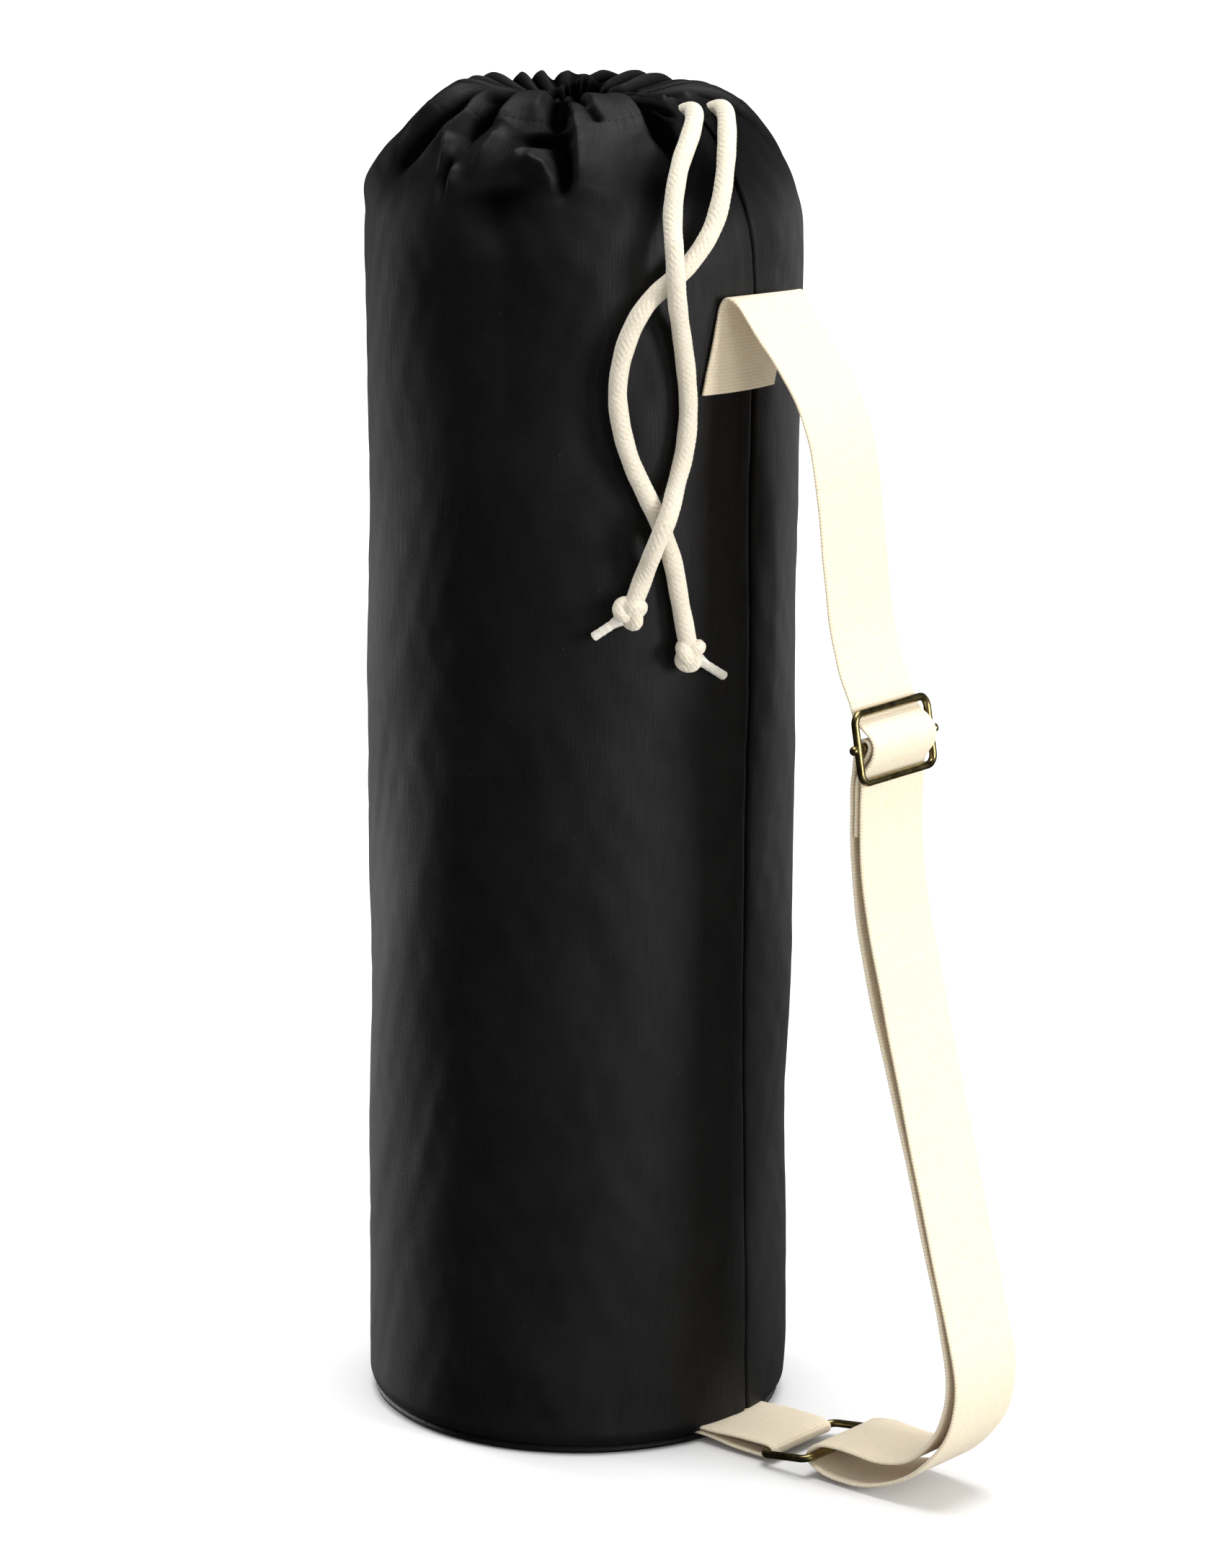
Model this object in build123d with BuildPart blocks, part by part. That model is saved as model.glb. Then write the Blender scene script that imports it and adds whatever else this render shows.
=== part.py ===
"""Drawcord rope bag: a canvas tube on a flat base, gathered to a mouth, with a webbing carry strap.

Millimetres. The origin is on the tube's axis where the base rests. +Z runs up the tube, and the
strap stands in the XZ plane on the +X side.
"""

import os
from math import cos, pi, radians, sin, sqrt, tan

from build123d import *

os.makedirs("parts", exist_ok=True)

# ---- Bag ----
wall_radius = 82.5  # outside of the canvas tube
canvas = 2.0  # canvas with its facing and seam bulk
shoulder_z = 462.0  # where the straight wall turns into the dome
dome_radius = 65.3  # radius of the dome's cross-section
casing_radius = 58.0  # stitch line between the dome and the mouth casing
mouth_radius = 27.0  # the gathered opening
base_radius = 76.0
base_thickness = 2.2
piping_radius = 80.5
piping_bottom = 0.3
wall_bottom = 3.2  # the wall starts on top of the piping
foot_inset = 4.0  # the wall's lower edge turns in by this much
foot_rise = 6.0
foot_arc = 9.6
seam_width = 6.0
seam_proud = 0.5

# ---- Drawcord ----
cord_diameter = 7.0
channel_radius = 42.5  # the cord's circle inside the casing
channel_z = 512.5
channel_bore = 4.3
loop_start = 24.0  # degrees, just past the right exit hole
loop_turn = 322.0
exit_hole_radius = 4.2
exit_hole_start = 3.0  # behind the free end's first point
exit_hole_depth = 17.0
knot_radius = 6.4
tip_radius = 1.9

# ---- Webbing and hardware ----
strap_width = 38.0
strap_thickness = 1.6
flap_bottom = 411.0
flap_top = 444.0
flap_angle = -5.5  # the sewn end sits a little off the strap's plane
wire_radius = 1.5
hardware_width = 43.5  # between the centres of the side wires
wire_corner = 4.0
butt_gap = 0.3
slider_top = (150.0, 304.0)  # centre of the slider's top bar, (x, z)
slider_bottom = (154.7, 278.7)
rivet_radius = 1.0
rivet_head = 1.8
ring_inner = (112.5, 5.0)  # centre of the bar that the tab holds, (x, z)
ring_outer = (135.0, 8.5)  # centre of the bar that the strap holds

cord_radius = cord_diameter / 2
dome_centre = wall_radius - dome_radius

# Centrelines of the two free ends of the drawcord, from the casing down to the knots.
# The left one crosses over the right one twice.
tail_left_route = [
    (48.0, -1.5, 514.6),
    (55.0, -4.0, 517.6),
    (61.5, -10.0, 516.0),
    (67.5, -20.0, 509.0),
    (71.0, -30.0, 500.5),
    (74.0, -36.5, 491.5),
    (76.0, -40.5, 481.5),
    (82.5, -46.5, 470.0),
    (83.5, -46.5, 455.0),
    (79.5, -39.0, 441.5),
    (79.5, -35.5, 426.0),
    (80.0, -34.0, 410.0),
    (79.5, -35.5, 394.5),
    (79.0, -40.0, 382.5),
    (82.5, -47.5, 373.5),
    (79.5, -52.0, 361.5),
    (72.5, -49.5, 350.0),
    (71.0, -52.5, 341.5),
    (70.5, -55.0, 336.0),
]
tail_right_route = [
    (47.0, 11.5, 514.6),
    (54.0, 9.5, 517.6),
    (61.5, 5.5, 516.0),
    (70.5, -2.5, 508.5),
    (77.0, -11.0, 498.5),
    (81.5, -18.5, 487.5),
    (83.0, -25.0, 477.0),
    (81.5, -32.5, 467.5),
    (78.0, -40.0, 460.0),
    (73.0, -48.0, 453.0),
    (69.5, -53.0, 444.5),
    (66.5, -56.5, 432.5),
    (65.0, -58.0, 418.0),
    (66.5, -56.5, 403.5),
    (69.0, -53.5, 391.0),
    (72.5, -49.0, 379.5),
    (75.5, -43.5, 366.5),
    (78.0, -39.5, 353.5),
    (79.0, -37.0, 339.0),
    (80.5, -35.0, 327.0),
    (82.0, -34.5, 318.5),
]
tip_left_end = (58.0, -62.5, 325.5)
tip_right_end = (84.5, -12.0, 304.5)

# ---- Slider axes in the XZ plane: down the strap, and outward ----
slider_height = sqrt((slider_bottom[0] - slider_top[0]) ** 2 + (slider_bottom[1] - slider_top[1]) ** 2)
slider_down = (
    (slider_bottom[0] - slider_top[0]) / slider_height,
    (slider_bottom[1] - slider_top[1]) / slider_height,
)
slider_out = (-slider_down[1], slider_down[0])


def at_slider(down, out):
    """Point (x, z) that lies down the slider from its top bar and outward from its plane."""
    return (
        slider_top[0] + down * slider_down[0] + out * slider_out[0],
        slider_top[1] + down * slider_down[1] + out * slider_out[1],
    )


# Centreline of the webbing in the XZ plane, from its sewn end to its other, looped end.
strap_route = [
    (84.1, flap_top),
    (84.3, 452.3),
    (88.7, 451.6),
    (94.0, 444.5),
    (103.0, 434.5),
    (113.0, 423.0),
    (121.5, 410.0),
    (126.5, 395.0),
    (130.0, 374.0),
    (132.8, 352.0),
    (136.0, 332.0),
    (140.8, 316.5),
    at_slider(-1.5, -3.0),
    at_slider(2.6, -2.7),
    at_slider(9.8, 4.9),
    at_slider(15.9, 4.9),
    at_slider(23.1, -2.7),
    at_slider(28.5, -3.4),
    (151.5, 256.0),
    (154.0, 233.0),
    (160.5, 208.0),
    (168.0, 180.0),
    (177.0, 147.0),
    (187.0, 111.0),
    (197.0, 76.0),
    (202.5, 57.0),
    (201.5, 38.0),
    (192.0, 22.0),
    (176.0, 8.5),
    (158.0, 2.4),
    (143.0, 2.2),
    (132.55, 5.7),
    (132.55, 11.3),
    (141.0, 15.4),
    (155.0, 15.0),
    (170.0, 14.4),
    (184.0, 20.5),
    (194.5, 34.0),
    (199.0, 51.0),
    (194.5, 75.0),
    (184.5, 109.0),
    (174.0, 146.0),
    (163.5, 178.5),
    (155.0, 206.5),
    (149.6, 232.0),
    (147.4, 255.0),
    at_slider(29.0, -8.5),
    at_slider(19.5, -6.0),
    at_slider(10.2, -2.6),
    at_slider(10.2, 2.6),
    at_slider(13.9, 2.75),
    at_slider(22.0, -4.3),
    at_slider(29.0, -6.2),
    at_slider(46.0, -9.3),
]

# Each stretch of webbing is a node: its name, and the first and last of its own corners.
strap_stretches = [
    ("strap_top_fold", 1, 3),
    ("strap_upper_run", 4, 7),
    ("strap_slider_approach", 8, 11),
    ("strap_slider_weave", 12, 16),
    ("strap_front_top", 17, 20),
    ("strap_front_run", 21, 29),
    ("strap_ring_loop", 30, 33),
    ("strap_back_run", 34, 42),
    ("strap_back_top", 43, 45),
    ("strap_end_loop", 46, 52),
]

# Centreline of the ring tab in the XZ plane: out of the base seam, round the ring's bar and back.
tab_route = [
    (70.0, 6.1),
    (84.0, 6.1),
    (100.0, 7.3),
    (115.1, 7.5),
    (115.1, 2.45),
    (100.0, 2.2),
    (84.0, 4.0),
    (70.0, 4.0),
]


def azimuth_plane(angle):
    """Upright plane through the axis: its x runs outward at that angle, its y runs up."""
    turn = radians(angle)
    return Plane(origin=(0, 0, 0), x_dir=(cos(turn), sin(turn), 0), z_dir=(sin(turn), -cos(turn), 0))


def dome_point(radius_inset, height):
    """Point (r, z) of the dome's section at that height, on the surface inset by that much."""
    reach = sqrt((dome_radius - radius_inset) ** 2 - (height - shoulder_z) ** 2)
    return (dome_centre + reach, height)


def dome_top(radius_inset):
    """Point (r, z) where the dome meets the casing, cut square to the surface."""
    run = casing_radius - dome_centre
    rise = sqrt(dome_radius**2 - run**2)
    share = (dome_radius - radius_inset) / dome_radius
    return (dome_centre + run * share, shoulder_z + rise * share)


def wall_section(proud=0.0):
    """Closed section of the canvas from its lower edge over the dome to the casing."""
    outside = wall_radius + proud
    inside = wall_radius - canvas
    foot_top = wall_bottom + foot_rise
    with BuildLine() as section:
        Line((inside - foot_inset, wall_bottom), (outside - foot_inset, wall_bottom))
        RadiusArc((outside - foot_inset, wall_bottom), (outside, foot_top), -foot_arc)
        Line((outside, foot_top), (outside, shoulder_z))
        ThreePointArc((outside, shoulder_z), dome_point(-proud, 495.0), dome_top(-proud))
        Line(dome_top(-proud), dome_top(canvas))
        ThreePointArc(dome_top(canvas), dome_point(canvas, 495.0), (inside, shoulder_z))
        Line((inside, shoulder_z), (inside, foot_top))
        RadiusArc((inside, foot_top), (inside - foot_inset, wall_bottom), foot_arc)
    return section.line


def cut_exit_holes():
    """Cuts the two holes that the cord leaves the mouth through, in the part being built."""
    for route in (tail_left_route, tail_right_route):
        hole = Plane(origin=route[0], z_dir=Vector(*route[1]) - Vector(*route[0]))
        with Locations(hole.offset(-exit_hole_start)):
            Cylinder(
                exit_hole_radius,
                exit_hole_depth,
                align=(Align.CENTER, Align.CENTER, Align.MIN),
                mode=Mode.SUBTRACT,
            )


def write(part, name):
    """Names a finished piece and writes it as its own file."""
    part.label = name
    export_step(part, f"parts/{name}.step")


def corner_radii(points):
    """Radius of the arc at each inner corner: as large as the two runs beside it allow."""
    corners = [Vector(*point) for point in points]
    radii = []
    for before, corner, after in zip(corners, corners[1:], corners[2:]):
        run_in = corner - before
        run_out = after - corner
        half_turn = radians(run_in.get_angle(run_out)) / 2
        radii.append(0.45 * min(run_in.length, run_out.length) / tan(half_turn))
    return radii


def cord_length(points):
    """Length of the straight runs joined by their arcs."""
    corners = [Vector(*point) for point in points]
    length = sum((b - a).length for a, b in zip(corners, corners[1:]))
    for before, corner, after, radius in zip(corners, corners[1:], corners[2:], corner_radii(points)):
        turn = radians((corner - before).get_angle(after - corner))
        length += radius * (turn - 2 * tan(turn / 2))
    return length


# ---- Base: a disc on the ground and the piping sewn round it ----
with BuildPart() as base_panel:
    with BuildSketch():
        Circle(base_radius)
    extrude(amount=base_thickness)
write(base_panel.part, "base_panel")

with BuildPart() as base_piping:
    with BuildSketch(Plane.XZ) as piping_section:
        with Locations(((base_radius + piping_radius) / 2, (piping_bottom + wall_bottom) / 2)):
            RectangleRounded(piping_radius - base_radius, wall_bottom - piping_bottom, 1.2)
    revolve(axis=Axis.Z)
write(base_piping.part, "base_piping")

# ---- Wall and dome: one canvas panel closed by an upright seam ----
seam_turn = 180 * seam_width / (pi * wall_radius)

with BuildPart() as body_panel:
    with BuildSketch(azimuth_plane(seam_turn / 2)):
        add(wall_section())
        make_face()
    revolve(axis=Axis.Z, revolution_arc=360 - seam_turn)
    cut_exit_holes()
write(body_panel.part, "body_panel")

with BuildPart() as side_seam:
    with BuildSketch(azimuth_plane(-seam_turn / 2)):
        add(wall_section(seam_proud))
        make_face()
    revolve(axis=Axis.Z, revolution_arc=seam_turn)
    cut_exit_holes()
write(side_seam.part, "side_seam")

# ---- Casing: the mouth's folded hem, with the channel that the cord runs in ----
with BuildPart() as drawcord_casing:
    with BuildSketch(Plane.XZ):
        with BuildLine():
            Spline(
                dome_top(0),
                (50.0, 517.6),
                (42.0, 520.3),
                (34.0, 521.5),
                (29.2, 520.9),
                (mouth_radius, 518.2),
            )
            Polyline(
                (mouth_radius, 518.2),
                (mouth_radius, 508.5),
                (30.0, 505.6),
                (46.0, 504.4),
                (53.5, 507.0),
                dome_top(canvas),
                dome_top(0),
            )
        make_face()
    revolve(axis=Axis.Z)
    with BuildSketch(Plane.XZ):
        with Locations((channel_radius, channel_z)):
            Circle(channel_bore)
    revolve(axis=Axis.Z, mode=Mode.SUBTRACT)
    cut_exit_holes()
write(drawcord_casing.part, "drawcord_casing")

# ---- Drawcord: the hidden turn inside the casing, then the two free ends ----
with BuildPart() as drawcord_loop:
    with BuildSketch(azimuth_plane(loop_start)):
        with Locations((channel_radius, channel_z)):
            Circle(cord_radius)
    revolve(axis=Axis.Z, revolution_arc=loop_turn)
write(drawcord_loop.part, "drawcord_loop")

with BuildPart() as drawcord_tail_left:
    with BuildLine() as left_path:
        FilletPolyline(*tail_left_route, radius=corner_radii(tail_left_route))
    with BuildSketch(Plane(origin=left_path.line @ 0, z_dir=left_path.line % 0)):
        Circle(cord_radius)
    sweep()
write(drawcord_tail_left.part, "drawcord_tail_left")

with BuildPart() as drawcord_tail_right:
    with BuildLine() as right_path:
        FilletPolyline(*tail_right_route, radius=corner_radii(tail_right_route))
    with BuildSketch(Plane(origin=right_path.line @ 0, z_dir=right_path.line % 0)):
        Circle(cord_radius)
    sweep()
write(drawcord_tail_right.part, "drawcord_tail_right")

for side, route, tube in (
    ("left", tail_left_route, drawcord_tail_left),
    ("right", tail_right_route, drawcord_tail_right),
):
    length = cord_length(route)
    expected = length * pi * cord_radius**2
    print(side, "cord length", round(length, 1), "radii", [round(r, 1) for r in corner_radii(route)])
    print(side, "cord volume", round(tube.part.volume), "expected", round(expected))

# ---- Knots and tips ----
for side, route, tip_end in (
    ("left", tail_left_route, tip_left_end),
    ("right", tail_right_route, tip_right_end),
):
    centre = Vector(*route[-1])
    along = (Vector(*tip_end) - centre).normalized()
    knot_plane = Plane(origin=centre, z_dir=along)
    with BuildPart() as knot:
        with BuildSketch(knot_plane.offset(-knot_radius * 0.8)):
            Circle(knot_radius * 0.75)
        with BuildSketch(knot_plane):
            Circle(knot_radius)
        with BuildSketch(knot_plane.offset(knot_radius * 0.8)):
            Circle(knot_radius * 0.7)
        loft()
    write(knot.part, f"knot_{side}")
    tip_length = (Vector(*tip_end) - centre).length - knot_radius * 0.8
    with BuildPart() as tip:
        with BuildSketch(knot_plane.offset(knot_radius * 0.8)):
            Circle(tip_radius * 1.25)
        with BuildSketch(knot_plane.offset(knot_radius * 0.8 + tip_length)):
            Circle(tip_radius)
        loft()
    write(tip.part, f"cord_tip_{side}")

# ---- Strap: the end sewn on the wall, then each stretch of the webbing ----
flap_turn = 180 * strap_width / (pi * wall_radius)
with BuildPart() as strap_top_end:
    with BuildSketch(azimuth_plane(flap_angle - flap_turn / 2)):
        with BuildLine():
            Polyline(
                (wall_radius + seam_proud, flap_bottom),
                (wall_radius + seam_proud + strap_thickness, flap_bottom),
                (wall_radius + seam_proud + strap_thickness, flap_top - 0.3),
                (wall_radius + seam_proud, flap_top - 0.3),
                close=True,
            )
        make_face()
    revolve(axis=Axis.Z, revolution_arc=flap_turn)
write(strap_top_end.part, "strap_top_end")


def midpoint(first, second):
    """Point halfway between two points (x, z)."""
    return ((first[0] + second[0]) / 2, (first[1] + second[1]) / 2)


def strap_line(first, last):
    """Points of one stretch: its corners, and the middles of the runs before and after them."""
    start = strap_route[0] if first == 1 else midpoint(strap_route[first - 1], strap_route[first])
    end = midpoint(strap_route[last], strap_route[last + 1])
    if last + 2 == len(strap_route):
        end = strap_route[-1]
    return [start, *strap_route[first : last + 1], end]


def flat_radii(points):
    """Radii of the arcs at the inner corners of a line in the XZ plane."""
    return corner_radii([(x, 0, z) for x, z in points])


for name, first, last in strap_stretches:
    points = strap_line(first, last)
    with BuildPart() as webbing:
        with BuildSketch(Plane.XZ):
            with BuildLine():
                FilletPolyline(*points, radius=flat_radii(points))
            trace(line_width=strap_thickness)
        extrude(amount=strap_width / 2, both=True)
    write(webbing.part, name)

# ---- Ring tab: doubled webbing caught in the base seam ----
with BuildPart() as ring_tab:
    with BuildSketch(Plane.XZ):
        with BuildLine():
            FilletPolyline(*tab_route, radius=[r * 0.98 for r in flat_radii(tab_route)])
        trace(line_width=strap_thickness)
    extrude(amount=strap_width / 2, both=True)
    with BuildSketch():
        Circle(wall_radius + 0.1)
    extrude(amount=20, mode=Mode.SUBTRACT)
write(ring_tab.part, "ring_tab")


def wire_plane(first, second):
    """Plane of a wire loop: its x runs from the first bar to the second, its y along the bars."""
    run = (second[0] - first[0], 0, second[1] - first[1])
    normal = Vector(*run).cross(Vector(0, 1, 0))
    middle = midpoint(first, second)
    return Plane(origin=(middle[0], 0, middle[1]), x_dir=run, z_dir=normal)


def bar_distance(first, second):
    """Distance between the centres of two bars."""
    return sqrt((second[0] - first[0]) ** 2 + (second[1] - first[1]) ** 2)


# ---- Ring: bent wire, its ends meeting beside the strap ----
ring_plane = wire_plane(ring_inner, ring_outer)
ring_height = bar_distance(ring_inner, ring_outer)
with BuildPart() as ring:
    with BuildLine(ring_plane) as ring_path:
        FilletPolyline(
            (-ring_height / 2, -hardware_width / 2),
            (ring_height / 2, -hardware_width / 2),
            (ring_height / 2, hardware_width / 2),
            (-ring_height / 2, hardware_width / 2),
            radius=wire_corner,
            close=True,
        )
    with BuildSketch(Plane(origin=ring_path.line @ 0, z_dir=ring_path.line % 0)):
        Circle(wire_radius)
    sweep()
    with BuildSketch(ring_plane):
        with Locations((ring_height * 0.18, -hardware_width / 2)):
            Rectangle(butt_gap, 4 * wire_radius)
    extrude(amount=2 * wire_radius, both=True, mode=Mode.SUBTRACT)
write(ring.part, "ring")

# ---- Slider: bent wire frame, and the bar riveted across its middle ----
slider_plane = wire_plane(slider_top, slider_bottom)
with BuildPart() as slider_frame:
    with BuildLine(slider_plane) as frame_path:
        FilletPolyline(
            (-slider_height / 2, -hardware_width / 2),
            (slider_height / 2, -hardware_width / 2),
            (slider_height / 2, hardware_width / 2),
            (-slider_height / 2, hardware_width / 2),
            radius=wire_corner,
            close=True,
        )
    with BuildSketch(Plane(origin=frame_path.line @ 0, z_dir=frame_path.line % 0)):
        Circle(wire_radius)
    sweep()
    with BuildSketch(slider_plane):
        with Locations((slider_height / 2, -hardware_width * 0.2)):
            Rectangle(4 * wire_radius, butt_gap)
    extrude(amount=2 * wire_radius, both=True, mode=Mode.SUBTRACT)
    with BuildSketch(Plane(origin=slider_plane.origin, z_dir=(0, 1, 0))):
        Circle(rivet_radius + 0.02)
    extrude(amount=hardware_width, both=True, mode=Mode.SUBTRACT)
write(slider_frame.part, "slider_frame")

bar_half = hardware_width / 2 - wire_radius - 0.05
rivet_reach = hardware_width / 2 + wire_radius + 0.05
with BuildPart() as slider_bar:
    with BuildSketch(Plane(origin=slider_plane.origin, z_dir=(0, 1, 0))) as bar_section:
        Circle(wire_radius)
    extrude(amount=bar_half, both=True)
    with BuildSketch(Plane(origin=slider_plane.origin, z_dir=(0, 1, 0))):
        Circle(rivet_radius)
    extrude(amount=rivet_reach + rivet_head / 2, both=True)
    for end in (-1, 1):
        with Locations(slider_plane.origin + Vector(0, end * (rivet_reach + rivet_head / 2), 0)):
            Sphere(rivet_head)
    for end in (-1, 1):
        with Locations(slider_plane.origin + Vector(0, end * (hardware_width / 2 - 0.1), 0)):
            Box(8, 2 * wire_radius + 0.3, 8, mode=Mode.SUBTRACT)
    with BuildSketch(Plane(origin=slider_plane.origin, z_dir=(0, 1, 0))):
        Circle(rivet_radius)
    extrude(amount=rivet_reach + rivet_head / 2, both=True)
write(slider_bar.part, "slider_bar")
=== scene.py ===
"""Looks of the canvas rope bag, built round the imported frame. Everything is in metres."""

import math

import bpy
import numpy as np
from mathutils import Matrix, Vector


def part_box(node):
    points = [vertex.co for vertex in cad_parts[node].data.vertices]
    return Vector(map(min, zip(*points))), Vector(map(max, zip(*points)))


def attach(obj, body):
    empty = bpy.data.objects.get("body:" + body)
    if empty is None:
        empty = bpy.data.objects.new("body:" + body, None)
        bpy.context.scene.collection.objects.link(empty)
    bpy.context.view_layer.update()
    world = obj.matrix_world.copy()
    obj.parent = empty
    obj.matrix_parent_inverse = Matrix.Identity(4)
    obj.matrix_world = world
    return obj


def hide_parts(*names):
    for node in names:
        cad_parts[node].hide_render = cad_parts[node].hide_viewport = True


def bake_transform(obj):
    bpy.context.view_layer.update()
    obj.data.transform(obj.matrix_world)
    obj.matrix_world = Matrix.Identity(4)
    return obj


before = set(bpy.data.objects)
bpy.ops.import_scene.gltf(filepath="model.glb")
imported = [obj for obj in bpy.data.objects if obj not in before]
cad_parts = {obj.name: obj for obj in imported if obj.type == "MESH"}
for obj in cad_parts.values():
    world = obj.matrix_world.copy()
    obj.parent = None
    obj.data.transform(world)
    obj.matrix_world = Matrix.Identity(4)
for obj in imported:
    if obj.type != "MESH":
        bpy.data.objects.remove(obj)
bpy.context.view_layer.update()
scene = bpy.context.scene
rng = np.random.default_rng(7)
MM = 0.001

# ---- Driving dimensions: those that the CAD pieces give are read from the frame ----
WALL_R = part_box("body_panel")[1].y
SHOULDER_Z = 0.462
DOME_R = 0.0653
DOME_C = WALL_R - DOME_R
STITCH_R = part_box("drawcord_casing")[1].y
FOOT_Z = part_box("body_panel")[0].z
CLOTH = 1.1 * MM
CORD_D = 7.0 * MM
STRAP_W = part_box("strap_front_run")[1].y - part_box("strap_front_run")[0].y
STRAP_T = 1.6 * MM


# ---- Camera and light ----
CAMERA_AZIMUTH = 40.607  # degrees round from -Y towards +X
CAMERA_DISTANCE = 2.0137
CAMERA_HEIGHT = 0.7740
CAMERA_AIM_Z = 0.2475
CAMERA_YAW = -0.379
CAMERA_ROLL = 0.557
LENS_MM = 122.6


def make_camera():
    """Camera that looks down on the bag from its front right."""
    azimuth = math.radians(CAMERA_AZIMUTH)
    place = Vector((math.sin(azimuth), -math.cos(azimuth), 0)) * CAMERA_DISTANCE
    place.z = CAMERA_HEIGHT
    forward = (Vector((0, 0, CAMERA_AIM_Z)) - place).normalized()
    forward.rotate(Matrix.Rotation(math.radians(CAMERA_YAW), 3, "Z"))
    right = forward.cross(Vector((0, 0, 1))).normalized()
    up = right.cross(forward)
    roll = Matrix.Rotation(math.radians(-CAMERA_ROLL), 3, forward)
    right.rotate(roll)
    up.rotate(roll)
    data = bpy.data.cameras.new("camera")
    data.sensor_width = 36.0
    data.lens = LENS_MM
    data.clip_end = 50
    camera = bpy.data.objects.new("camera", data)
    axes = Matrix((right, up, -forward)).transposed()
    camera.matrix_world = Matrix.Translation(place) @ axes.to_4x4()
    scene.collection.objects.link(camera)
    scene.camera = camera


def around_bag(turn, distance, height):
    """Place that lies that many degrees to the right of the camera, seen from the bag."""
    azimuth = math.radians(CAMERA_AZIMUTH + turn)
    return Vector((math.sin(azimuth) * distance, -math.cos(azimuth) * distance, height))


def add_softbox(name, turn, distance, height, size, power, aim_z=0.26, spread=180):
    """One soft rectangular light that faces the bag."""
    data = bpy.data.lights.new(name, "AREA")
    data.shape = "RECTANGLE"
    data.size, data.size_y = size
    data.energy = power
    data.spread = math.radians(spread)
    light = bpy.data.objects.new(name, data)
    light.location = around_bag(turn, distance, height)
    light.rotation_euler = (Vector((0, 0, aim_z)) - light.location).to_track_quat("-Z", "Y").to_euler()
    scene.collection.objects.link(light)


def make_lights():
    """A key light on the right, low side lights from behind, and soft light from above and ahead."""
    data = bpy.data.lights.new("overhead", "SUN")
    data.energy = 3.3
    data.angle = math.radians(40)
    light = bpy.data.objects.new("overhead", data)
    scene.collection.objects.link(light)
    add_softbox("key", 57, 1.9, 0.60, (0.45, 0.8), 26.5)
    add_softbox("left_rim", -130, 1.5, 0.24, (0.5, 0.4), 1.2, -0.03, 36)
    add_softbox("right_rim", 140, 1.5, 0.26, (0.5, 0.4), 0.3, 0.10, 40)
    add_softbox("front", 34, 2.2, 0.50, (0.5, 1.0), 6)


def make_world():
    """A white surround to look at, which lights the bag weakly and hardly shows in its gloss."""
    world = bpy.data.worlds.new("studio")
    scene.world = world
    world.use_nodes = True
    tree = world.node_tree
    background = tree.nodes["Background"]
    ray = tree.nodes.new("ShaderNodeLightPath")
    soft = tree.nodes.new("ShaderNodeMapRange")
    soft.inputs["To Min"].default_value = 0.012
    soft.inputs["To Max"].default_value = 0.52
    strength = tree.nodes.new("ShaderNodeMath")
    strength.operation = "MAXIMUM"
    tree.links.new(ray.outputs["Is Diffuse Ray"], soft.inputs["Value"])
    tree.links.new(ray.outputs["Is Camera Ray"], strength.inputs[0])
    tree.links.new(soft.outputs["Result"], strength.inputs[1])
    tree.links.new(strength.outputs["Value"], background.inputs["Strength"])
    background.inputs["Color"].default_value = (1, 1, 1, 1)


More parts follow.
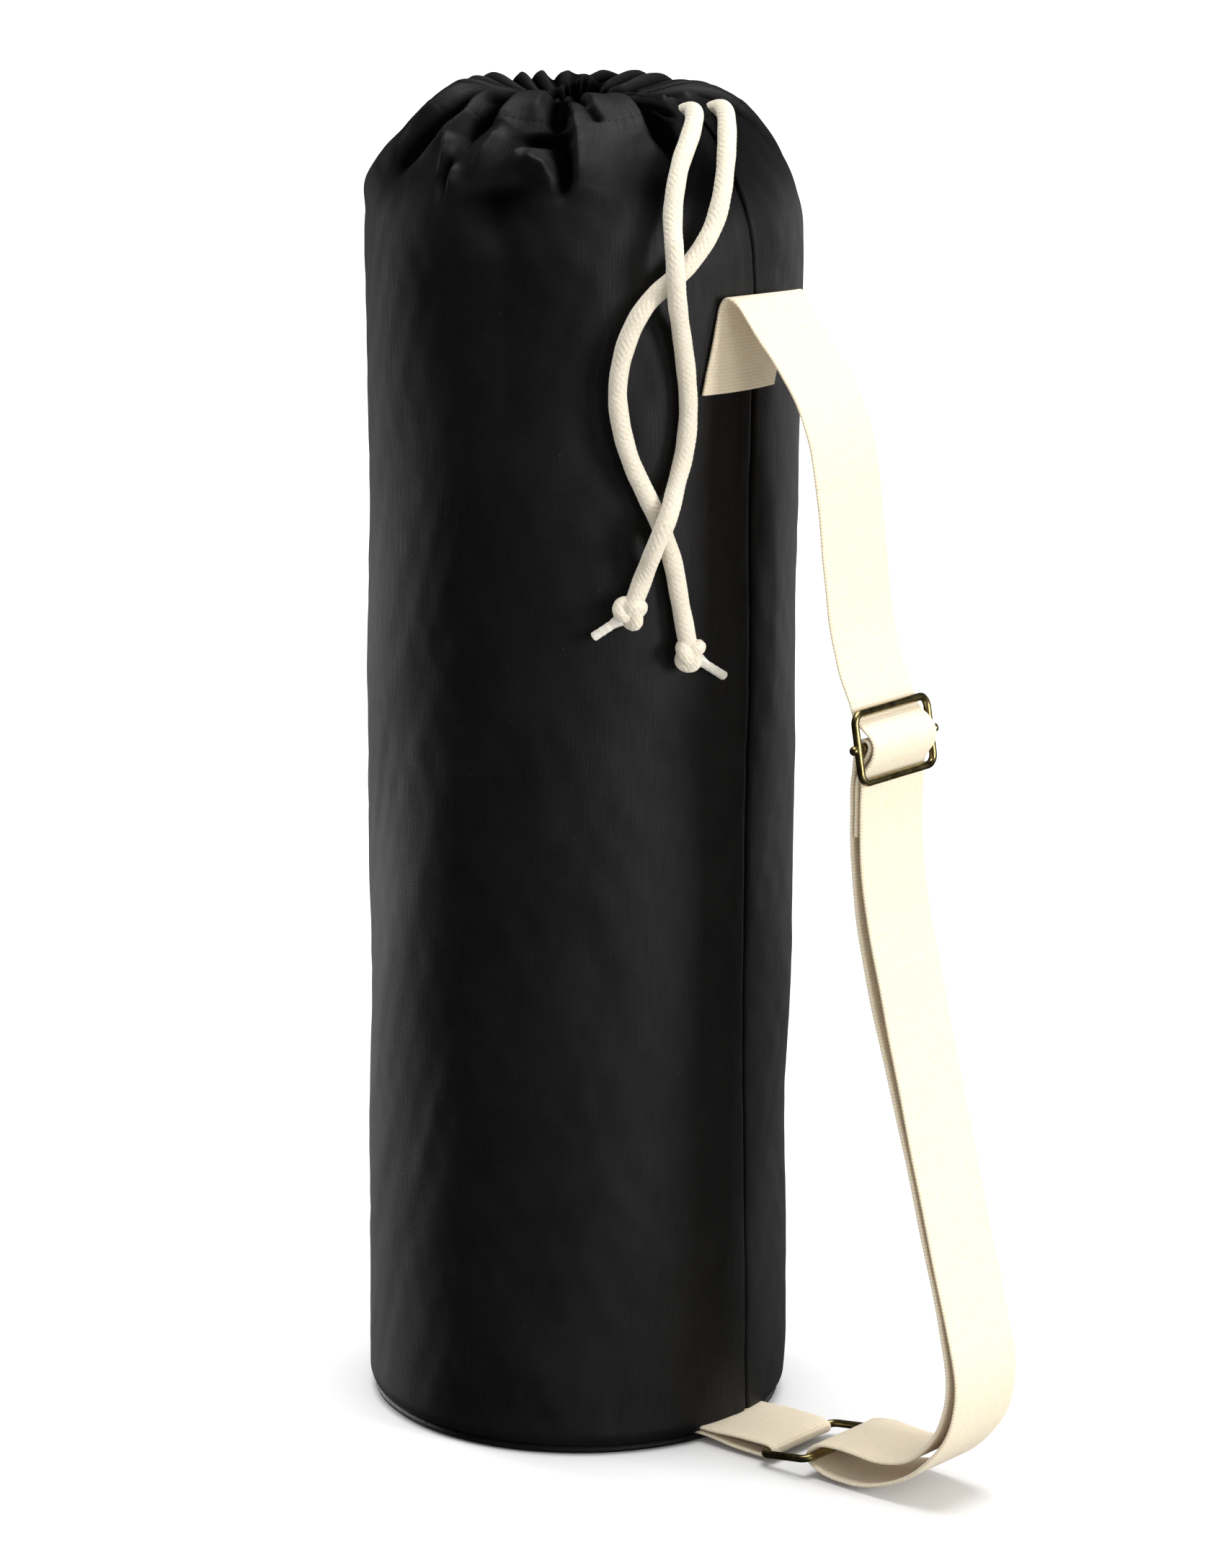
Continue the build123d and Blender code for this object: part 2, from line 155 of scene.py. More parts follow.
# ---- Materials ----
class Nodes:
    """A material's node tree with short ways to add and join nodes."""

    def __init__(self, name):
        self.material = bpy.data.materials.new(name)
        self.material.use_nodes = True
        self.tree = self.material.node_tree
        self.shader = self.tree.nodes["Principled BSDF"]

    def add(self, kind, **values):
        """A node, with its properties or its unlinked sockets set by name."""
        node = self.tree.nodes.new("ShaderNode" + kind)
        for key, value in values.items():
            if hasattr(node, key):
                setattr(node, key, value)
            else:
                node.inputs[key.replace("_", " ")].default_value = value
        return node

    def link(self, output, socket):
        self.tree.links.new(output, socket)

    def attribute(self, name):
        return self.add("Attribute", attribute_name=name).outputs["Vector"]

    def scaled(self, vector, scale):
        node = self.add("Mapping")
        node.inputs["Scale"].default_value = scale
        self.link(vector, node.inputs["Vector"])
        return node.outputs["Vector"]

    def noise(self, vector, scale, detail=3.0, roughness=0.5):
        node = self.add("TexNoise", Scale=scale, Detail=detail, Roughness=roughness)
        self.link(vector, node.inputs["Vector"])
        return node.outputs["Fac"]

    def wave(self, vector, axis, scale, distortion=0.0):
        node = self.add("TexWave", bands_direction=axis, Scale=scale, Distortion=distortion)
        node.inputs["Detail Scale"].default_value = 2.0
        self.link(vector, node.inputs["Vector"])
        return node.outputs["Fac"]

    def maths(self, operation, first, second):
        node = self.add("Math", operation=operation)
        for socket, value in zip(node.inputs, (first, second)):
            if isinstance(value, (int, float)):
                socket.default_value = value
            else:
                self.link(value, socket)
        return node.outputs[0]

    def ramp(self, factor, low, high, low_value=0.0, high_value=1.0):
        node = self.add("MapRange")
        node.inputs["From Min"].default_value = low
        node.inputs["From Max"].default_value = high
        node.inputs["To Min"].default_value = low_value
        node.inputs["To Max"].default_value = high_value
        self.link(factor, node.inputs["Value"])
        return node.outputs["Result"]

    def mix(self, factor, first, second):
        node = self.add("Mix", data_type="RGBA")
        if isinstance(factor, (int, float)):
            node.inputs["Factor"].default_value = factor
        else:
            self.link(factor, node.inputs["Factor"])
        for socket, value in ((node.inputs[6], first), (node.inputs[7], second)):
            if isinstance(value, tuple):
                socket.default_value = (*value, 1.0)
            else:
                self.link(value, socket)
        return node.outputs[2]

    def bump(self, height, distance, strength):
        node = self.add("Bump", Distance=distance, Strength=strength)
        self.link(height, node.inputs["Height"])
        return node.outputs["Normal"]

    def finish(self, colour, roughness, normal=None, **constants):
        """Colour, roughness and normal may vary; every other value is a constant."""
        for socket, value in (("Base Color", colour), ("Roughness", roughness)):
            if isinstance(value, tuple):
                self.shader.inputs[socket].default_value = (*value, 1.0)
            elif isinstance(value, (int, float)):
                self.shader.inputs[socket].default_value = value
            else:
                self.link(value, self.shader.inputs[socket])
        if normal is not None:
            self.link(normal, self.shader.inputs["Normal"])
        for key, value in constants.items():
            self.shader.inputs[key.replace("_", " ")].default_value = value
        return self.material


CANVAS_IOR = 1.345
CANVAS_SHEEN = 0.022


def canvas_material(name, folded):
    """Matt black cotton canvas; when folded, painted shade darkens its colour and dims its gloss and
    sheen the deeper it lies in a fold.
    """
    n = Nodes(name)
    cloth = n.attribute("cloth")  # millimetres round and up the cloth
    warp = n.wave(cloth, "X", 0.50, 0.8)
    weft = n.wave(cloth, "Y", 0.46, 0.8)
    weave = n.maths("MULTIPLY", warp, weft)
    slub = n.noise(n.scaled(cloth, (1.4, 0.06, 1.0)), 1.0, 4.0, 0.65)
    blotch = n.noise(cloth, 0.035, 3.0, 0.6)
    grain = n.noise(cloth, 1.5, 2.0, 0.7)
    tone = n.mix(n.ramp(slub, 0.35, 0.70), (0.0024, 0.0024, 0.0026), (0.0054, 0.0054, 0.0054))
    tone = n.mix(n.ramp(blotch, 0.40, 0.68, 0.0, 0.45), tone, (0.0078, 0.0078, 0.0078))
    specks = n.ramp(n.noise(cloth, 0.62, 1.0, 0.5), 0.78, 0.82)
    tone = n.mix(specks, tone, (0.034, 0.033, 0.030))
    pits = n.ramp(n.noise(cloth, 0.48, 1.0, 0.5), 0.20, 0.24, 1.0, 0.0)
    tone = n.mix(pits, tone, (0.0015, 0.0015, 0.0015))
    gloss = {"IOR": CANVAS_IOR, "Sheen_Weight": CANVAS_SHEEN}
    if folded:
        # painted shade from the mesh's fold-depth attribute: deeper in a fold the colour goes nearly
        # black and the IOR and sheen fall
        painted_fold_shade = n.add("Attribute", attribute_name="painted_fold_shade").outputs["Fac"]  # 1 deep inside a fold
        tone = n.mix(n.ramp(painted_fold_shade, 0.0, 1.0, 0.0, 0.92), tone, (0.0005, 0.0005, 0.0005))
        n.link(n.ramp(painted_fold_shade, 0.0, 1.0, CANVAS_IOR, 1.005), n.shader.inputs["IOR"])
        n.link(n.ramp(painted_fold_shade, 0.0, 0.7, CANVAS_SHEEN, 0.0), n.shader.inputs["Sheen Weight"])
        gloss = {}
    height = n.maths("ADD", n.maths("MULTIPLY", slub, 0.7), n.maths("MULTIPLY", weave, 0.35))
    height = n.maths("ADD", height, n.maths("MULTIPLY", grain, 0.6))
    normal = n.bump(height, 0.00020, 0.8)
    return n.finish(
        tone,
        n.ramp(slub, 0.3, 0.7, 0.66, 0.50),
        normal,
        Sheen_Roughness=0.40,
        Sheen_Tint=(1.0, 1.0, 1.0, 1.0),
        **gloss,
    )


def webbing_material(name):
    """Undyed cotton webbing: plain weave of thick threads with faint slubs and blotches."""
    n = Nodes(name)
    cloth = n.attribute("cloth")  # millimetres across and along the webbing
    across = n.wave(cloth, "X", 0.31, 0.6)
    along = n.wave(cloth, "Y", 0.24, 0.6)
    weave = n.maths("MULTIPLY", across, along)
    slub = n.noise(n.scaled(cloth, (0.9, 0.25, 1.0)), 1.0, 3.0, 0.6)
    fluff = n.noise(cloth, 3.0, 3.0, 0.7)
    blotch = n.noise(cloth, 0.05, 2.0, 0.5)
    # painted shade: the weave's gaps, low in its bump, are painted darker than the threads' tops
    tone = n.mix(n.ramp(weave, 0.0, 0.65), (0.69, 0.575, 0.41), (0.85, 0.77, 0.62))
    tone = n.mix(n.ramp(slub, 0.45, 0.75, 0.0, 0.5), tone, (0.85, 0.765, 0.61))
    tone = n.mix(n.ramp(blotch, 0.35, 0.7, 0.0, 0.25), tone, (0.76, 0.645, 0.47))
    height = n.maths("ADD", n.maths("MULTIPLY", weave, 1.0), n.maths("MULTIPLY", fluff, 0.25))
    normal = n.bump(height, 0.00020, 0.8)
    return n.finish(
        tone,
        0.88,
        normal,
        Specular_IOR_Level=0.25,
        Sheen_Weight=0.10,
        Sheen_Roughness=0.5,
        Subsurface_Weight=0.35,
        Subsurface_Radius=(0.0024, 0.0017, 0.0011),
        Subsurface_Scale=1.0,
    )


def cord_material(name):
    """Undyed braided cotton: slanting strands and fibres, over the braid in the tails' mesh."""
    n = Nodes(name)
    cloth = n.attribute("cloth")
    fibre = n.noise(n.scaled(cloth, (1.6, 0.7, 1.0)), 1.2, 4.0, 0.7)
    blotch = n.noise(cloth, 0.12, 2.0, 0.5)
    tone = n.mix(n.ramp(fibre, 0.35, 0.7), (0.60, 0.53, 0.405), (0.82, 0.77, 0.655))
    tone = n.mix(n.ramp(blotch, 0.35, 0.7, 0.0, 0.35), tone, (0.80, 0.735, 0.60))
    strand = n.wave(cloth, "DIAGONAL", 0.25, 3.0)
    # painted shade: the grooves between the braid's strands, low in its bump, are painted slightly
    # darker
    tone = n.mix(n.ramp(strand, 0.0, 0.35, 0.14, 0.0), tone, (0.55, 0.48, 0.36))
    normal = n.bump(n.maths("ADD", fibre, n.maths("MULTIPLY", strand, 0.4)), 0.00030, 0.8)
    return n.finish(
        tone,
        0.9,
        normal,
        Specular_IOR_Level=0.2,
        Sheen_Weight=0.35,
        Sheen_Roughness=0.5,
        Subsurface_Weight=0.15,
        Subsurface_Radius=(0.002, 0.0012, 0.0006),
        Subsurface_Scale=1.0,
    )


def tip_material(name):
    """Shrunk translucent sleeve over the cord's end."""
    n = Nodes(name)
    place = n.add("TexCoord").outputs["Object"]
    cloud = n.noise(place, 900.0, 3.0, 0.6)
    tone = n.mix(n.ramp(cloud, 0.35, 0.7), (0.72, 0.67, 0.57), (0.86, 0.83, 0.76))
    normal = n.bump(n.noise(place, 500.0, 2.0, 0.5), 0.0002, 0.5)
    return n.finish(
        tone,
        0.38,
        normal,
        Specular_IOR_Level=0.5,
        Coat_Weight=0.35,
        Coat_Roughness=0.25,
        Subsurface_Weight=0.3,
        Subsurface_Radius=(0.002, 0.0015, 0.001),
        Subsurface_Scale=1.0,
    )


def brass_material(name):
    """Antiqued brass wire: patchy dark patina with finer bright scuffs."""
    n = Nodes(name)
    place = n.add("TexCoord").outputs["Object"]
    patina = n.noise(place, 180.0, 3.0, 0.5)
    scuff = n.noise(n.scaled(place, (1.0, 0.2, 1.0)), 1400.0, 3.0, 0.7)
    tone = n.mix(n.ramp(patina, 0.35, 0.68), (0.17, 0.135, 0.055), (0.33, 0.275, 0.125))
    tone = n.mix(n.ramp(n.noise(place, 900.0, 3.0, 0.6), 0.58, 0.78, 0.0, 0.4), tone, (0.40, 0.33, 0.16))
    normal = n.bump(scuff, 0.00004, 0.5)
    return n.finish(
        tone,
        n.ramp(patina, 0.3, 0.7, 0.26, 0.38),
        normal,
        Metallic=1.0,
    )


def thread_material(name, colour):
    """Twisted sewing thread."""
    n = Nodes(name)
    place = n.add("TexCoord").outputs["Object"]
    twist = n.noise(place, 2500.0, 2.0, 0.6)
    dark = tuple(c * 0.6 for c in colour)
    normal = n.bump(twist, 0.0001, 0.6)
    return n.finish(n.mix(n.ramp(twist, 0.3, 0.7), dark, colour), 0.85, normal, Specular_IOR_Level=0.05)


def floor_material():
    """Pale studio floor that glows further out for the camera only, and throws little light."""
    n = Nodes("floor")
    place = n.add("TexCoord").outputs["Object"]
    path = n.add("LightPath").outputs
    seen = path["Is Camera Ray"]
    pale = n.mix(n.noise(place, 3.0, 2.0, 0.5), (0.735, 0.735, 0.735), (0.765, 0.765, 0.765))
    thrown = n.mix(path["Is Diffuse Ray"], (0.02, 0.02, 0.02), (0.42, 0.42, 0.42))
    tone = n.mix(seen, thrown, pale)
    reach = n.add("VectorMath", operation="LENGTH")
    n.link(place, reach.inputs[0])
    glow = n.maths("MULTIPLY", seen, n.ramp(reach.outputs["Value"], 0.25, 1.6, 0.02, 0.34))
    n.link(glow, n.shader.inputs["Emission Strength"])
    return n.finish(tone, 0.85, None, Specular_IOR_Level=0.1, Emission_Color=(1.0, 1.0, 1.0, 1.0))


# ---- Mesh helpers ----
def new_mesh(name, vertices, faces, material):
    """A mesh object from arrays."""
    mesh = bpy.data.meshes.new(name)
    mesh.from_pydata([tuple(v) for v in vertices], [], [tuple(f) for f in faces])
    mesh.update()
    mesh.polygons.foreach_set("use_smooth", [True] * len(mesh.polygons))
    mesh.materials.append(material)
    piece = bpy.data.objects.new(name, mesh)
    scene.collection.objects.link(piece)
    return piece


def add_cloth_coordinates(piece, coordinates):
    """Where each vertex lies on the flat cloth, in millimetres."""
    attribute = piece.data.attributes.new("cloth", "FLOAT_VECTOR", "POINT")
    attribute.data.foreach_set("vector", np.asarray(coordinates, np.float32).ravel())


def add_fold_shade(piece, depth):
    """Painted shade for each vertex: how deep in a fold it lies, from 0 on a ridge to 1 in a closed
    tuck.
    """
    attribute = piece.data.attributes.new("painted_fold_shade", "FLOAT", "POINT")
    attribute.data.foreach_set("value", np.clip(depth, 0, 1).astype(np.float32).ravel())


def grid_faces(rows, columns, wrap, offset=0):
    """Quads of a grid of vertices, row by row; wrap joins the last column to the first."""
    faces = []
    for i in range(rows - 1):
        for j in range(columns if wrap else columns - 1):
            k = (j + 1) % columns
            a = offset + i * columns
            b = a + columns
            faces.append((a + j, a + k, b + k, b + j))
    return faces


def joined_rows(first, second, count):
    """Quads between two rings of vertices that start at those two numbers."""
    steps = [(j, (j + 1) % count) for j in range(count)]
    return [(first + j, first + k, second + k, second + j) for j, k in steps]


def apply_modifiers(piece):
    """Replaces the mesh by what its modifiers make of it."""
    bpy.context.view_layer.update()
    evaluated = piece.evaluated_get(bpy.context.evaluated_depsgraph_get())
    piece.data = bpy.data.meshes.new_from_object(evaluated)
    piece.modifiers.clear()


def nurbs_points(name, route):
    """Points along the smooth curve whose control points are the route."""
    curve = bpy.data.curves.new(name, "CURVE")
    curve.dimensions = "3D"
    spline = curve.splines.new("NURBS")
    spline.points.add(len(route) - 1)
    for point, place in zip(spline.points, route):
        point.co = (*place, 1.0)
    spline.order_u = 3
    spline.use_endpoint_u = True
    spline.resolution_u = 24
    holder = bpy.data.objects.new(name, curve)
    scene.collection.objects.link(holder)
    bpy.context.view_layer.update()
    mesh = bpy.data.meshes.new_from_object(holder)
    points = np.array([v.co[:] for v in mesh.vertices])
    bpy.data.objects.remove(holder)
    return points


def lengths_along(points):
    """How far along the line each of its points lies."""
    return np.concatenate([[0], np.cumsum(np.linalg.norm(np.diff(points, axis=0), axis=1))])


def evenly(points, step):
    """The same line, with points a step apart."""
    lengths = lengths_along(points)
    count = max(3, int(round(lengths[-1] / step)) + 1)
    at = np.linspace(0, lengths[-1], count)
    return np.stack([np.interp(at, lengths, points[:, k]) for k in range(points.shape[1])], -1)


def carried_frames(points):
    """Two sideways directions at each point, carried along the line without twist."""
    tangents = np.gradient(points, axis=0)
    tangents /= np.linalg.norm(tangents, axis=1, keepdims=True)
    side = np.cross(tangents[0], (0.0, 0.0, 1.0))
    if np.linalg.norm(side) < 0.1:
        side = np.cross(tangents[0], (0.0, 1.0, 0.0))
    sides = []
    for tangent in tangents:
        side = side - tangent * side.dot(tangent)
        side = side / np.linalg.norm(side)
        sides.append(side)
    sides = np.array(sides)
    return sides, np.cross(tangents, sides)


# ---- Floor ----
def make_floor():
    size = 30.0
    floor = new_mesh(
        "floor",
        [(-size, -size, 0), (size, -size, 0), (size, size, 0), (-size, size, 0)],
        [(0, 1, 2, 3)],
        floor_material(),
    )


# ---- Canvas: one outline from the foot over the dome and round the hem of the mouth ----
# A place on the canvas is an azimuth in degrees (0 on the side seam, towards +X) and a height u in
# millimetres up along the cloth, measured from the shoulder where the straight wall ends.
COLUMNS = 600
WALL_STEP = 3.6
DOME_STEP = 0.85
# Range of relief over which the canvas gets painted fold shade.
FOLD_SHADE_RANGE = (-1.9, 1.5)  # relief, in millimetres, at which the cloth lies deepest and starts to shade
MOUTH_DRIFT = (-3.4, -2.9)  # the gathered mouth sits a little off the axis
STITCH_U = DOME_R / MM * math.acos((STITCH_R - DOME_C) / DOME_R)
HEM_OUTER = [(58.0, 513.0), (50.0, 517.4), (41.0, 519.9), (31.0, 521.0), (25.6, 520.4), (22.6, 517.6)]
HEM_INNER = [(22.0, 513.0), (23.0, 508.6), (28.0, 505.9), (37.0, 504.8), (46.0, 504.6), (53.0, 507.2)]


def smooth_line(points, step):
    """Catmull-Rom curve through the points, resampled evenly."""
    points = np.array(points, float)
    padded = np.concatenate([[2 * points[0] - points[1]], points, [2 * points[-1] - points[-2]]])
    t = np.linspace(0, 1, 24, endpoint=False)[:, None]
    pieces = []
    for a, b, c, d in zip(padded, padded[1:], padded[2:], padded[3:]):
        square, cube = 2 * a - 5 * b + 4 * c - d, 3 * b - a - 3 * c + d
        pieces.append(0.5 * (2 * b + (c - a) * t + square * t**2 + cube * t**3))
    return evenly(np.concatenate([*pieces, points[-1:]]), step)


def outline():
    """Heights u along the cloth with the radius and z of each, in millimetres, foot to hem's end."""
    shoulder = SHOULDER_Z / MM
    radius = WALL_R / MM
    t = np.linspace(0, 1, 12)[:, None]
    foot = (
        (1 - t) ** 2 * np.array([radius - 4.0, FOOT_Z / MM])
        + 2 * t * (1 - t) * np.array([radius - 0.1, FOOT_Z / MM + 1.2])
        + t**2 * np.array([radius, FOOT_Z / MM + 6.0])
    )
    wall = np.stack([np.full(200, radius), np.linspace(foot[-1, 1], shoulder, 200)], -1)
    angles = np.linspace(0, STITCH_U * MM / DOME_R, 90)
    dome = np.stack([DOME_C + DOME_R * np.cos(angles), SHOULDER_Z + DOME_R * np.sin(angles)], -1) / MM
    hem = smooth_line([tuple(dome[-1]), *HEM_OUTER[1:], *HEM_INNER], 0.5)
    line = np.concatenate([foot[:-1], wall[:-1], dome[:-1], hem])
    lengths = lengths_along(line)
    at_shoulder = lengths[len(foot) + len(wall) - 2]
    return lengths - at_shoulder, line


OUTLINE_U, OUTLINE = outline()


def outline_at(u):
    """Radius and z at heights u, and the outward direction (radial part, z part) there."""
    u = np.asarray(u, float)
    place = np.stack([np.interp(u, OUTLINE_U, OUTLINE[:, k]) for k in (0, 1)], -1)
    ahead = np.stack([np.interp(u + 1.2, OUTLINE_U, OUTLINE[:, k]) for k in (0, 1)], -1)
    behind = np.stack([np.interp(u - 1.2, OUTLINE_U, OUTLINE[:, k]) for k in (0, 1)], -1)
    tangent = ahead - behind
    tangent /= np.linalg.norm(tangent, axis=-1, keepdims=True)
    outward = np.stack([tangent[..., 1], -tangent[..., 0]], -1)
    return place, outward


def wrapped(azimuth):
    """The same azimuth between -180 and 180 degrees."""
    return (azimuth + 180) % 360 - 180


def step_between(value, low, high):
    """0 below low, 1 above high, smooth between; low may be the larger one."""
    t = np.clip((value - low) / (high - low), 0, 1)
    return t * t * (3 - 2 * t)


# Folds of the gathered dome. Each has its route as (azimuth, u) points from the mouth down, the width
# of its left and right flank in millimetres, and its height, which is negative in a tuck. Folds that
# start in the hem keep their height there, and the others fade at both ends.
DOME_FOLDS = [
    # the deep tuck that faces the viewer, wide at its foot, and the crescent it ends in
    ([(-58.6, 86), (-58.8, 70), (-59.2, 58), (-60.0, 50)], 2.6, 2.4, -6.0),
    ([(-63.6, 53.5), (-63.0, 49), (-62.6, 46)], 5.0, 6.0, -8.0),
    ([(-58.5, 54), (-57.0, 47), (-55.4, 40), (-54.8, 35), (-55.3, 30), (-56.8, 23)], 3.2, 1.6, -7.0),
    ([(-53.6, 60), (-52.2, 48), (-51.6, 40), (-51.8, 32), (-54.4, 24)], 1.6, 11.0, 3.4),
    # the lump that overhangs on its left
    ([(-70.0, 41.5), (-66.0, 40.5), (-62.0, 38.5), (-59.4, 34), (-58.4, 26)], 3.4, 3.6, 5.6),
    ([(-73.0, 46), (-70.0, 42), (-68.0, 36)], 5.0, 5.0, 2.6),
    ([(-66.0, 80), (-67.5, 66), (-70.0, 56)], 6.0, 3.4, 3.6),
    # the little curl at the mouth
    ([(-48.0, 90), (-47.8, 76), (-47.4, 65)], 1.8, 1.6, -4.6),
    ([(-46.4, 66), (-45.0, 61), (-44.0, 57)], 2.2, 2.0, -3.6),
    ([(-44.6, 86), (-44.2, 74), (-43.2, 64)], 1.6, 4.4, 2.0),
    # the long ridge beside the cords with the deep valley to its right
    ([(-29.5, 84), (-28.5, 70), (-29.0, 60), (-30.4, 52), (-27.6, 46), (-25.0, 39)], 8.0, 1.4, 4.0),
    ([(-26.6, 88), (-23.0, 70), (-23.0, 60), (-23.6, 52), (-21.4, 44), (-20.0, 34)], 2.2, 4.6, -8.5),
    ([(-23.0, 82), (-19.0, 68), (-16.4, 58)], 1.8, 1.8, 3.0),
    ([(-19.0, 84), (-14.5, 68), (-11.0, 59)], 1.8, 2.2, -5.0),
    # left of the tuck, from the silhouette inward
    ([(-117, 84), (-119, 70), (-121, 58), (-126, 46), (-134, 34)], 5.0, 3.4, 4.4),
    ([(-104, 88), (-102.4, 68), (-103.6, 57), (-108.4, 47), (-114.0, 38), (-122, 28)], 5.6, 3.0, -10.5),
    (
        [(-97.4, 82), (-97.4, 67), (-95.8, 57), (-99.2, 50), (-101.2, 44), (-107.4, 36), (-118.6, 24)],
        1.2,
        5.0,
        5.4,
    ),
    ([(-92.0, 86), (-92.6, 74), (-91.0, 64)], 1.8, 1.8, -4.4),
    ([(-84.4, 86), (-84.7, 67), (-86.2, 60), (-88.3, 55), (-89.6, 49), (-89.4, 41)], 3.4, 2.0, -8.0),
    ([(-80.4, 80), (-81.2, 66), (-82.4, 58), (-84.0, 53)], 1.4, 8.0, 3.8),
    ([(-79.5, 56), (-80.8, 48), (-82.4, 40), (-85.4, 31)], 3.0, 3.6, 3.4),
    ([(-98.0, 48), (-95.8, 41), (-95.4, 29)], 1.4, 2.0, 3.0),
    ([(-93.4, 40), (-93.2, 31), (-92.4, 18)], 1.8, 1.6, -3.2),
    ([(-90.6, 38), (-90.4, 31), (-89.8, 25)], 1.4, 2.4, 1.8),
    ([(-76.0, 30), (-74.0, 20), (-76.0, 0)], 10.0, 9.0, -2.4),
    # right of the cords: the end of the hem, the buttonhole, the ruffs that the cords leave by
    ([(4.6, 86), (2.0, 76), (-5.0, 72), (-12.0, 70)], 0.9, 1.6, -1.6),
    ([(4.4, 80), (9.7, 80.5), (15.0, 80)], 1.8, 1.8, -4.4),
    ([(-8.0, 74), (-4.0, 72.5), (2.0, 74)], 3.4, 2.6, 2.6),
    ([(8.0, 74), (13.0, 72.5), (18.0, 74)], 3.4, 2.6, 2.6),
    ([(24, 86), (25, 72), (27, 60), (26, 46)], 2.6, 3.6, -2.4),
    ([(32, 86), (33, 70), (32, 56), (30, 42)], 2.2, 4.6, 2.6),
]
# Shallow creases of the wall and its foot.
WALL_FOLDS = [
    ([(-74, -415), (-64, -435), (-52, -450)], 5.0, 9.0, 0.9),
    ([(-69, -428), (-60, -442), (-52, -455)], 3.0, 3.5, -0.6),
    ([(-84, -436), (-83, -450), (-84, -458)], 2.4, 3.0, -0.6),
    ([(-36, -430), (-39, -445), (-38, -458)], 4.0, 3.0, -0.5),
    ([(-66, -150), (-60, -190), (-62, -240)], 16.0, 10.0, 0.8),
    ([(-52, -235), (-46, -262), (-38, -292)], 9.0, 7.0, -0.8),
    ([(-58, -275), (-50, -300), (-45, -340)], 14.0, 9.0, 0.8),
    ([(-14, -60), (-20, -120), (-16, -200)], 12.0, 8.0, -0.9),
    ([(8, -60), (12, -130), (9, -220)], 6.0, 16.0, 0.9),
    ([(-48, 14), (-44, -30), (-42, -80)], 10.0, 14.0, 0.9),
    ([(-80, 30), (-72, 6), (-70, -40), (-74, -110)], 15.0, 12.0, -1.9),
    ([(-30, 40), (-27, 10), (-26, -40)], 8.0, 8.0, -1.2),
    ([(-128, 36), (-134, 22), (-138, 8)], 16.0, 14.0, 3.6),
    ([(-135, 40), (-138, 0), (-138, -110)], 26.0, 26.0, 1.6),
]


def other_folds():
    """Folds of the dome's far side, unevenly spread."""
    folds = []
    azimuth = 40.0
    while azimuth < 232.0:
        drift = rng.uniform(-9, 9)
        end = rng.uniform(14, 44)
        lean = rng.uniform(1.4, 4.5)
        places = ((0.0, 86), (0.2, 68), (0.6, 52), (1.0, end))
        route = [(azimuth + drift * share, u) for share, u in places]
        folds.append((route, lean, 5.6 - lean, rng.uniform(1.2, 2.6)))
        gap = rng.uniform(4.5, 7.5)
        tuck = [(a + gap, u + rng.uniform(-3, 3)) for a, u in route[:-1]]
        folds.append((tuck, 1.8, rng.uniform(1.6, 3.4), rng.uniform(-3.6, -2.0)))
        azimuth += rng.uniform(11.0, 17.5)
    return folds


def fold_relief(azimuth, u, radius, folds):
    """Sum of the folds: each is highest on its route and fades over the width of its flanks."""
    total = np.zeros_like(u)
    per_degree = radius * math.pi / 180
    for route, left, right, height in folds:
        reach = 3.2 * max(left, right)
        heights = [point[1] for point in route]
        near = (u > min(heights) - reach) & (u < max(heights) + reach)
        if not near.any():
            continue
        a, v, k = azimuth[near], u[near], per_degree[near]
        best = np.full(a.shape, 1e9)
        side = np.zeros(a.shape)
        along = np.zeros(a.shape)
        spans = len(route) - 1
        for index, (start, end) in enumerate(zip(route, route[1:])):
            dx = wrapped(a - start[0]) * k
            dy = v - start[1]
            ex = (end[0] - start[0]) * k
            ey = end[1] - start[1]
            share = np.clip((dx * ex + dy * ey) / (ex * ex + ey * ey), 0, 1)
            gap = np.hypot(dx - share * ex, dy - share * ey)
            closer = gap < best
            best = np.where(closer, gap, best)
            side = np.where(closer, dx * ey - dy * ex, side)
            along = np.where(closer, (index + share) / spans, along)
        flank = np.where(side > 0, left, right)  # the route runs down, so its left is the viewer's left
        fade = step_between(along, 1.0, 0.5)
        if route[0][1] < 58 or route[0][1] < 81 and route[-1][1] > 65:
            fade = fade * step_between(along, 0.0, 0.3)
        total[near] += height * fade * np.exp(-((best / flank) ** 1.45))
    return total


def waves(count, turns, lengths, seed):
    """Terms of a smooth, endless pattern: turns round the bag, turns up it, phase and weight."""
    source = np.random.default_rng(seed)
    around = source.integers(turns[0], turns[1], count)
    up = 2 * math.pi / source.uniform(*lengths, count) * source.choice((-1, 1), count)
    return list(zip(around, up, source.uniform(0, 2 * math.pi, count), source.uniform(0.5, 1, count)))


BROAD_WAVES = waves(14, (2, 9), (90, 320), 3)
SMALL_WAVES = waves(26, (14, 46), (16, 60), 5)
RIM_WAVES = waves(6, (3, 9), (200, 500), 11)


def wave_relief(azimuth, u, terms):
    """The pattern's value, about -1 to 1."""
    angle = np.radians(azimuth)
    total = sum(weight * np.cos(m * angle + k * u + phase) for m, k, phase, weight in terms)
    return total / math.sqrt(len(terms) * 0.3) / 1.6


# The side seam: height u and azimuth of its bends.
SEAM_LINE = [(-460, 5.0), (-360, 2.2), (-230, 0.4), (-60, 0.2)]
SEAM_LINE += [(-10, 0.6), (13, -1.0), (30, -2.5), (90, -2.5)]


def seam_azimuth(u):
    """Azimuth of the side seam, which wanders a little from foot to mouth."""
    return np.interp(u, [p[0] for p in SEAM_LINE], [p[1] for p in SEAM_LINE])


def from_seam(azimuth, u, radius):
    """Millimetres round the bag from the side seam."""
    return (azimuth - seam_azimuth(u)) * math.pi / 180 * radius


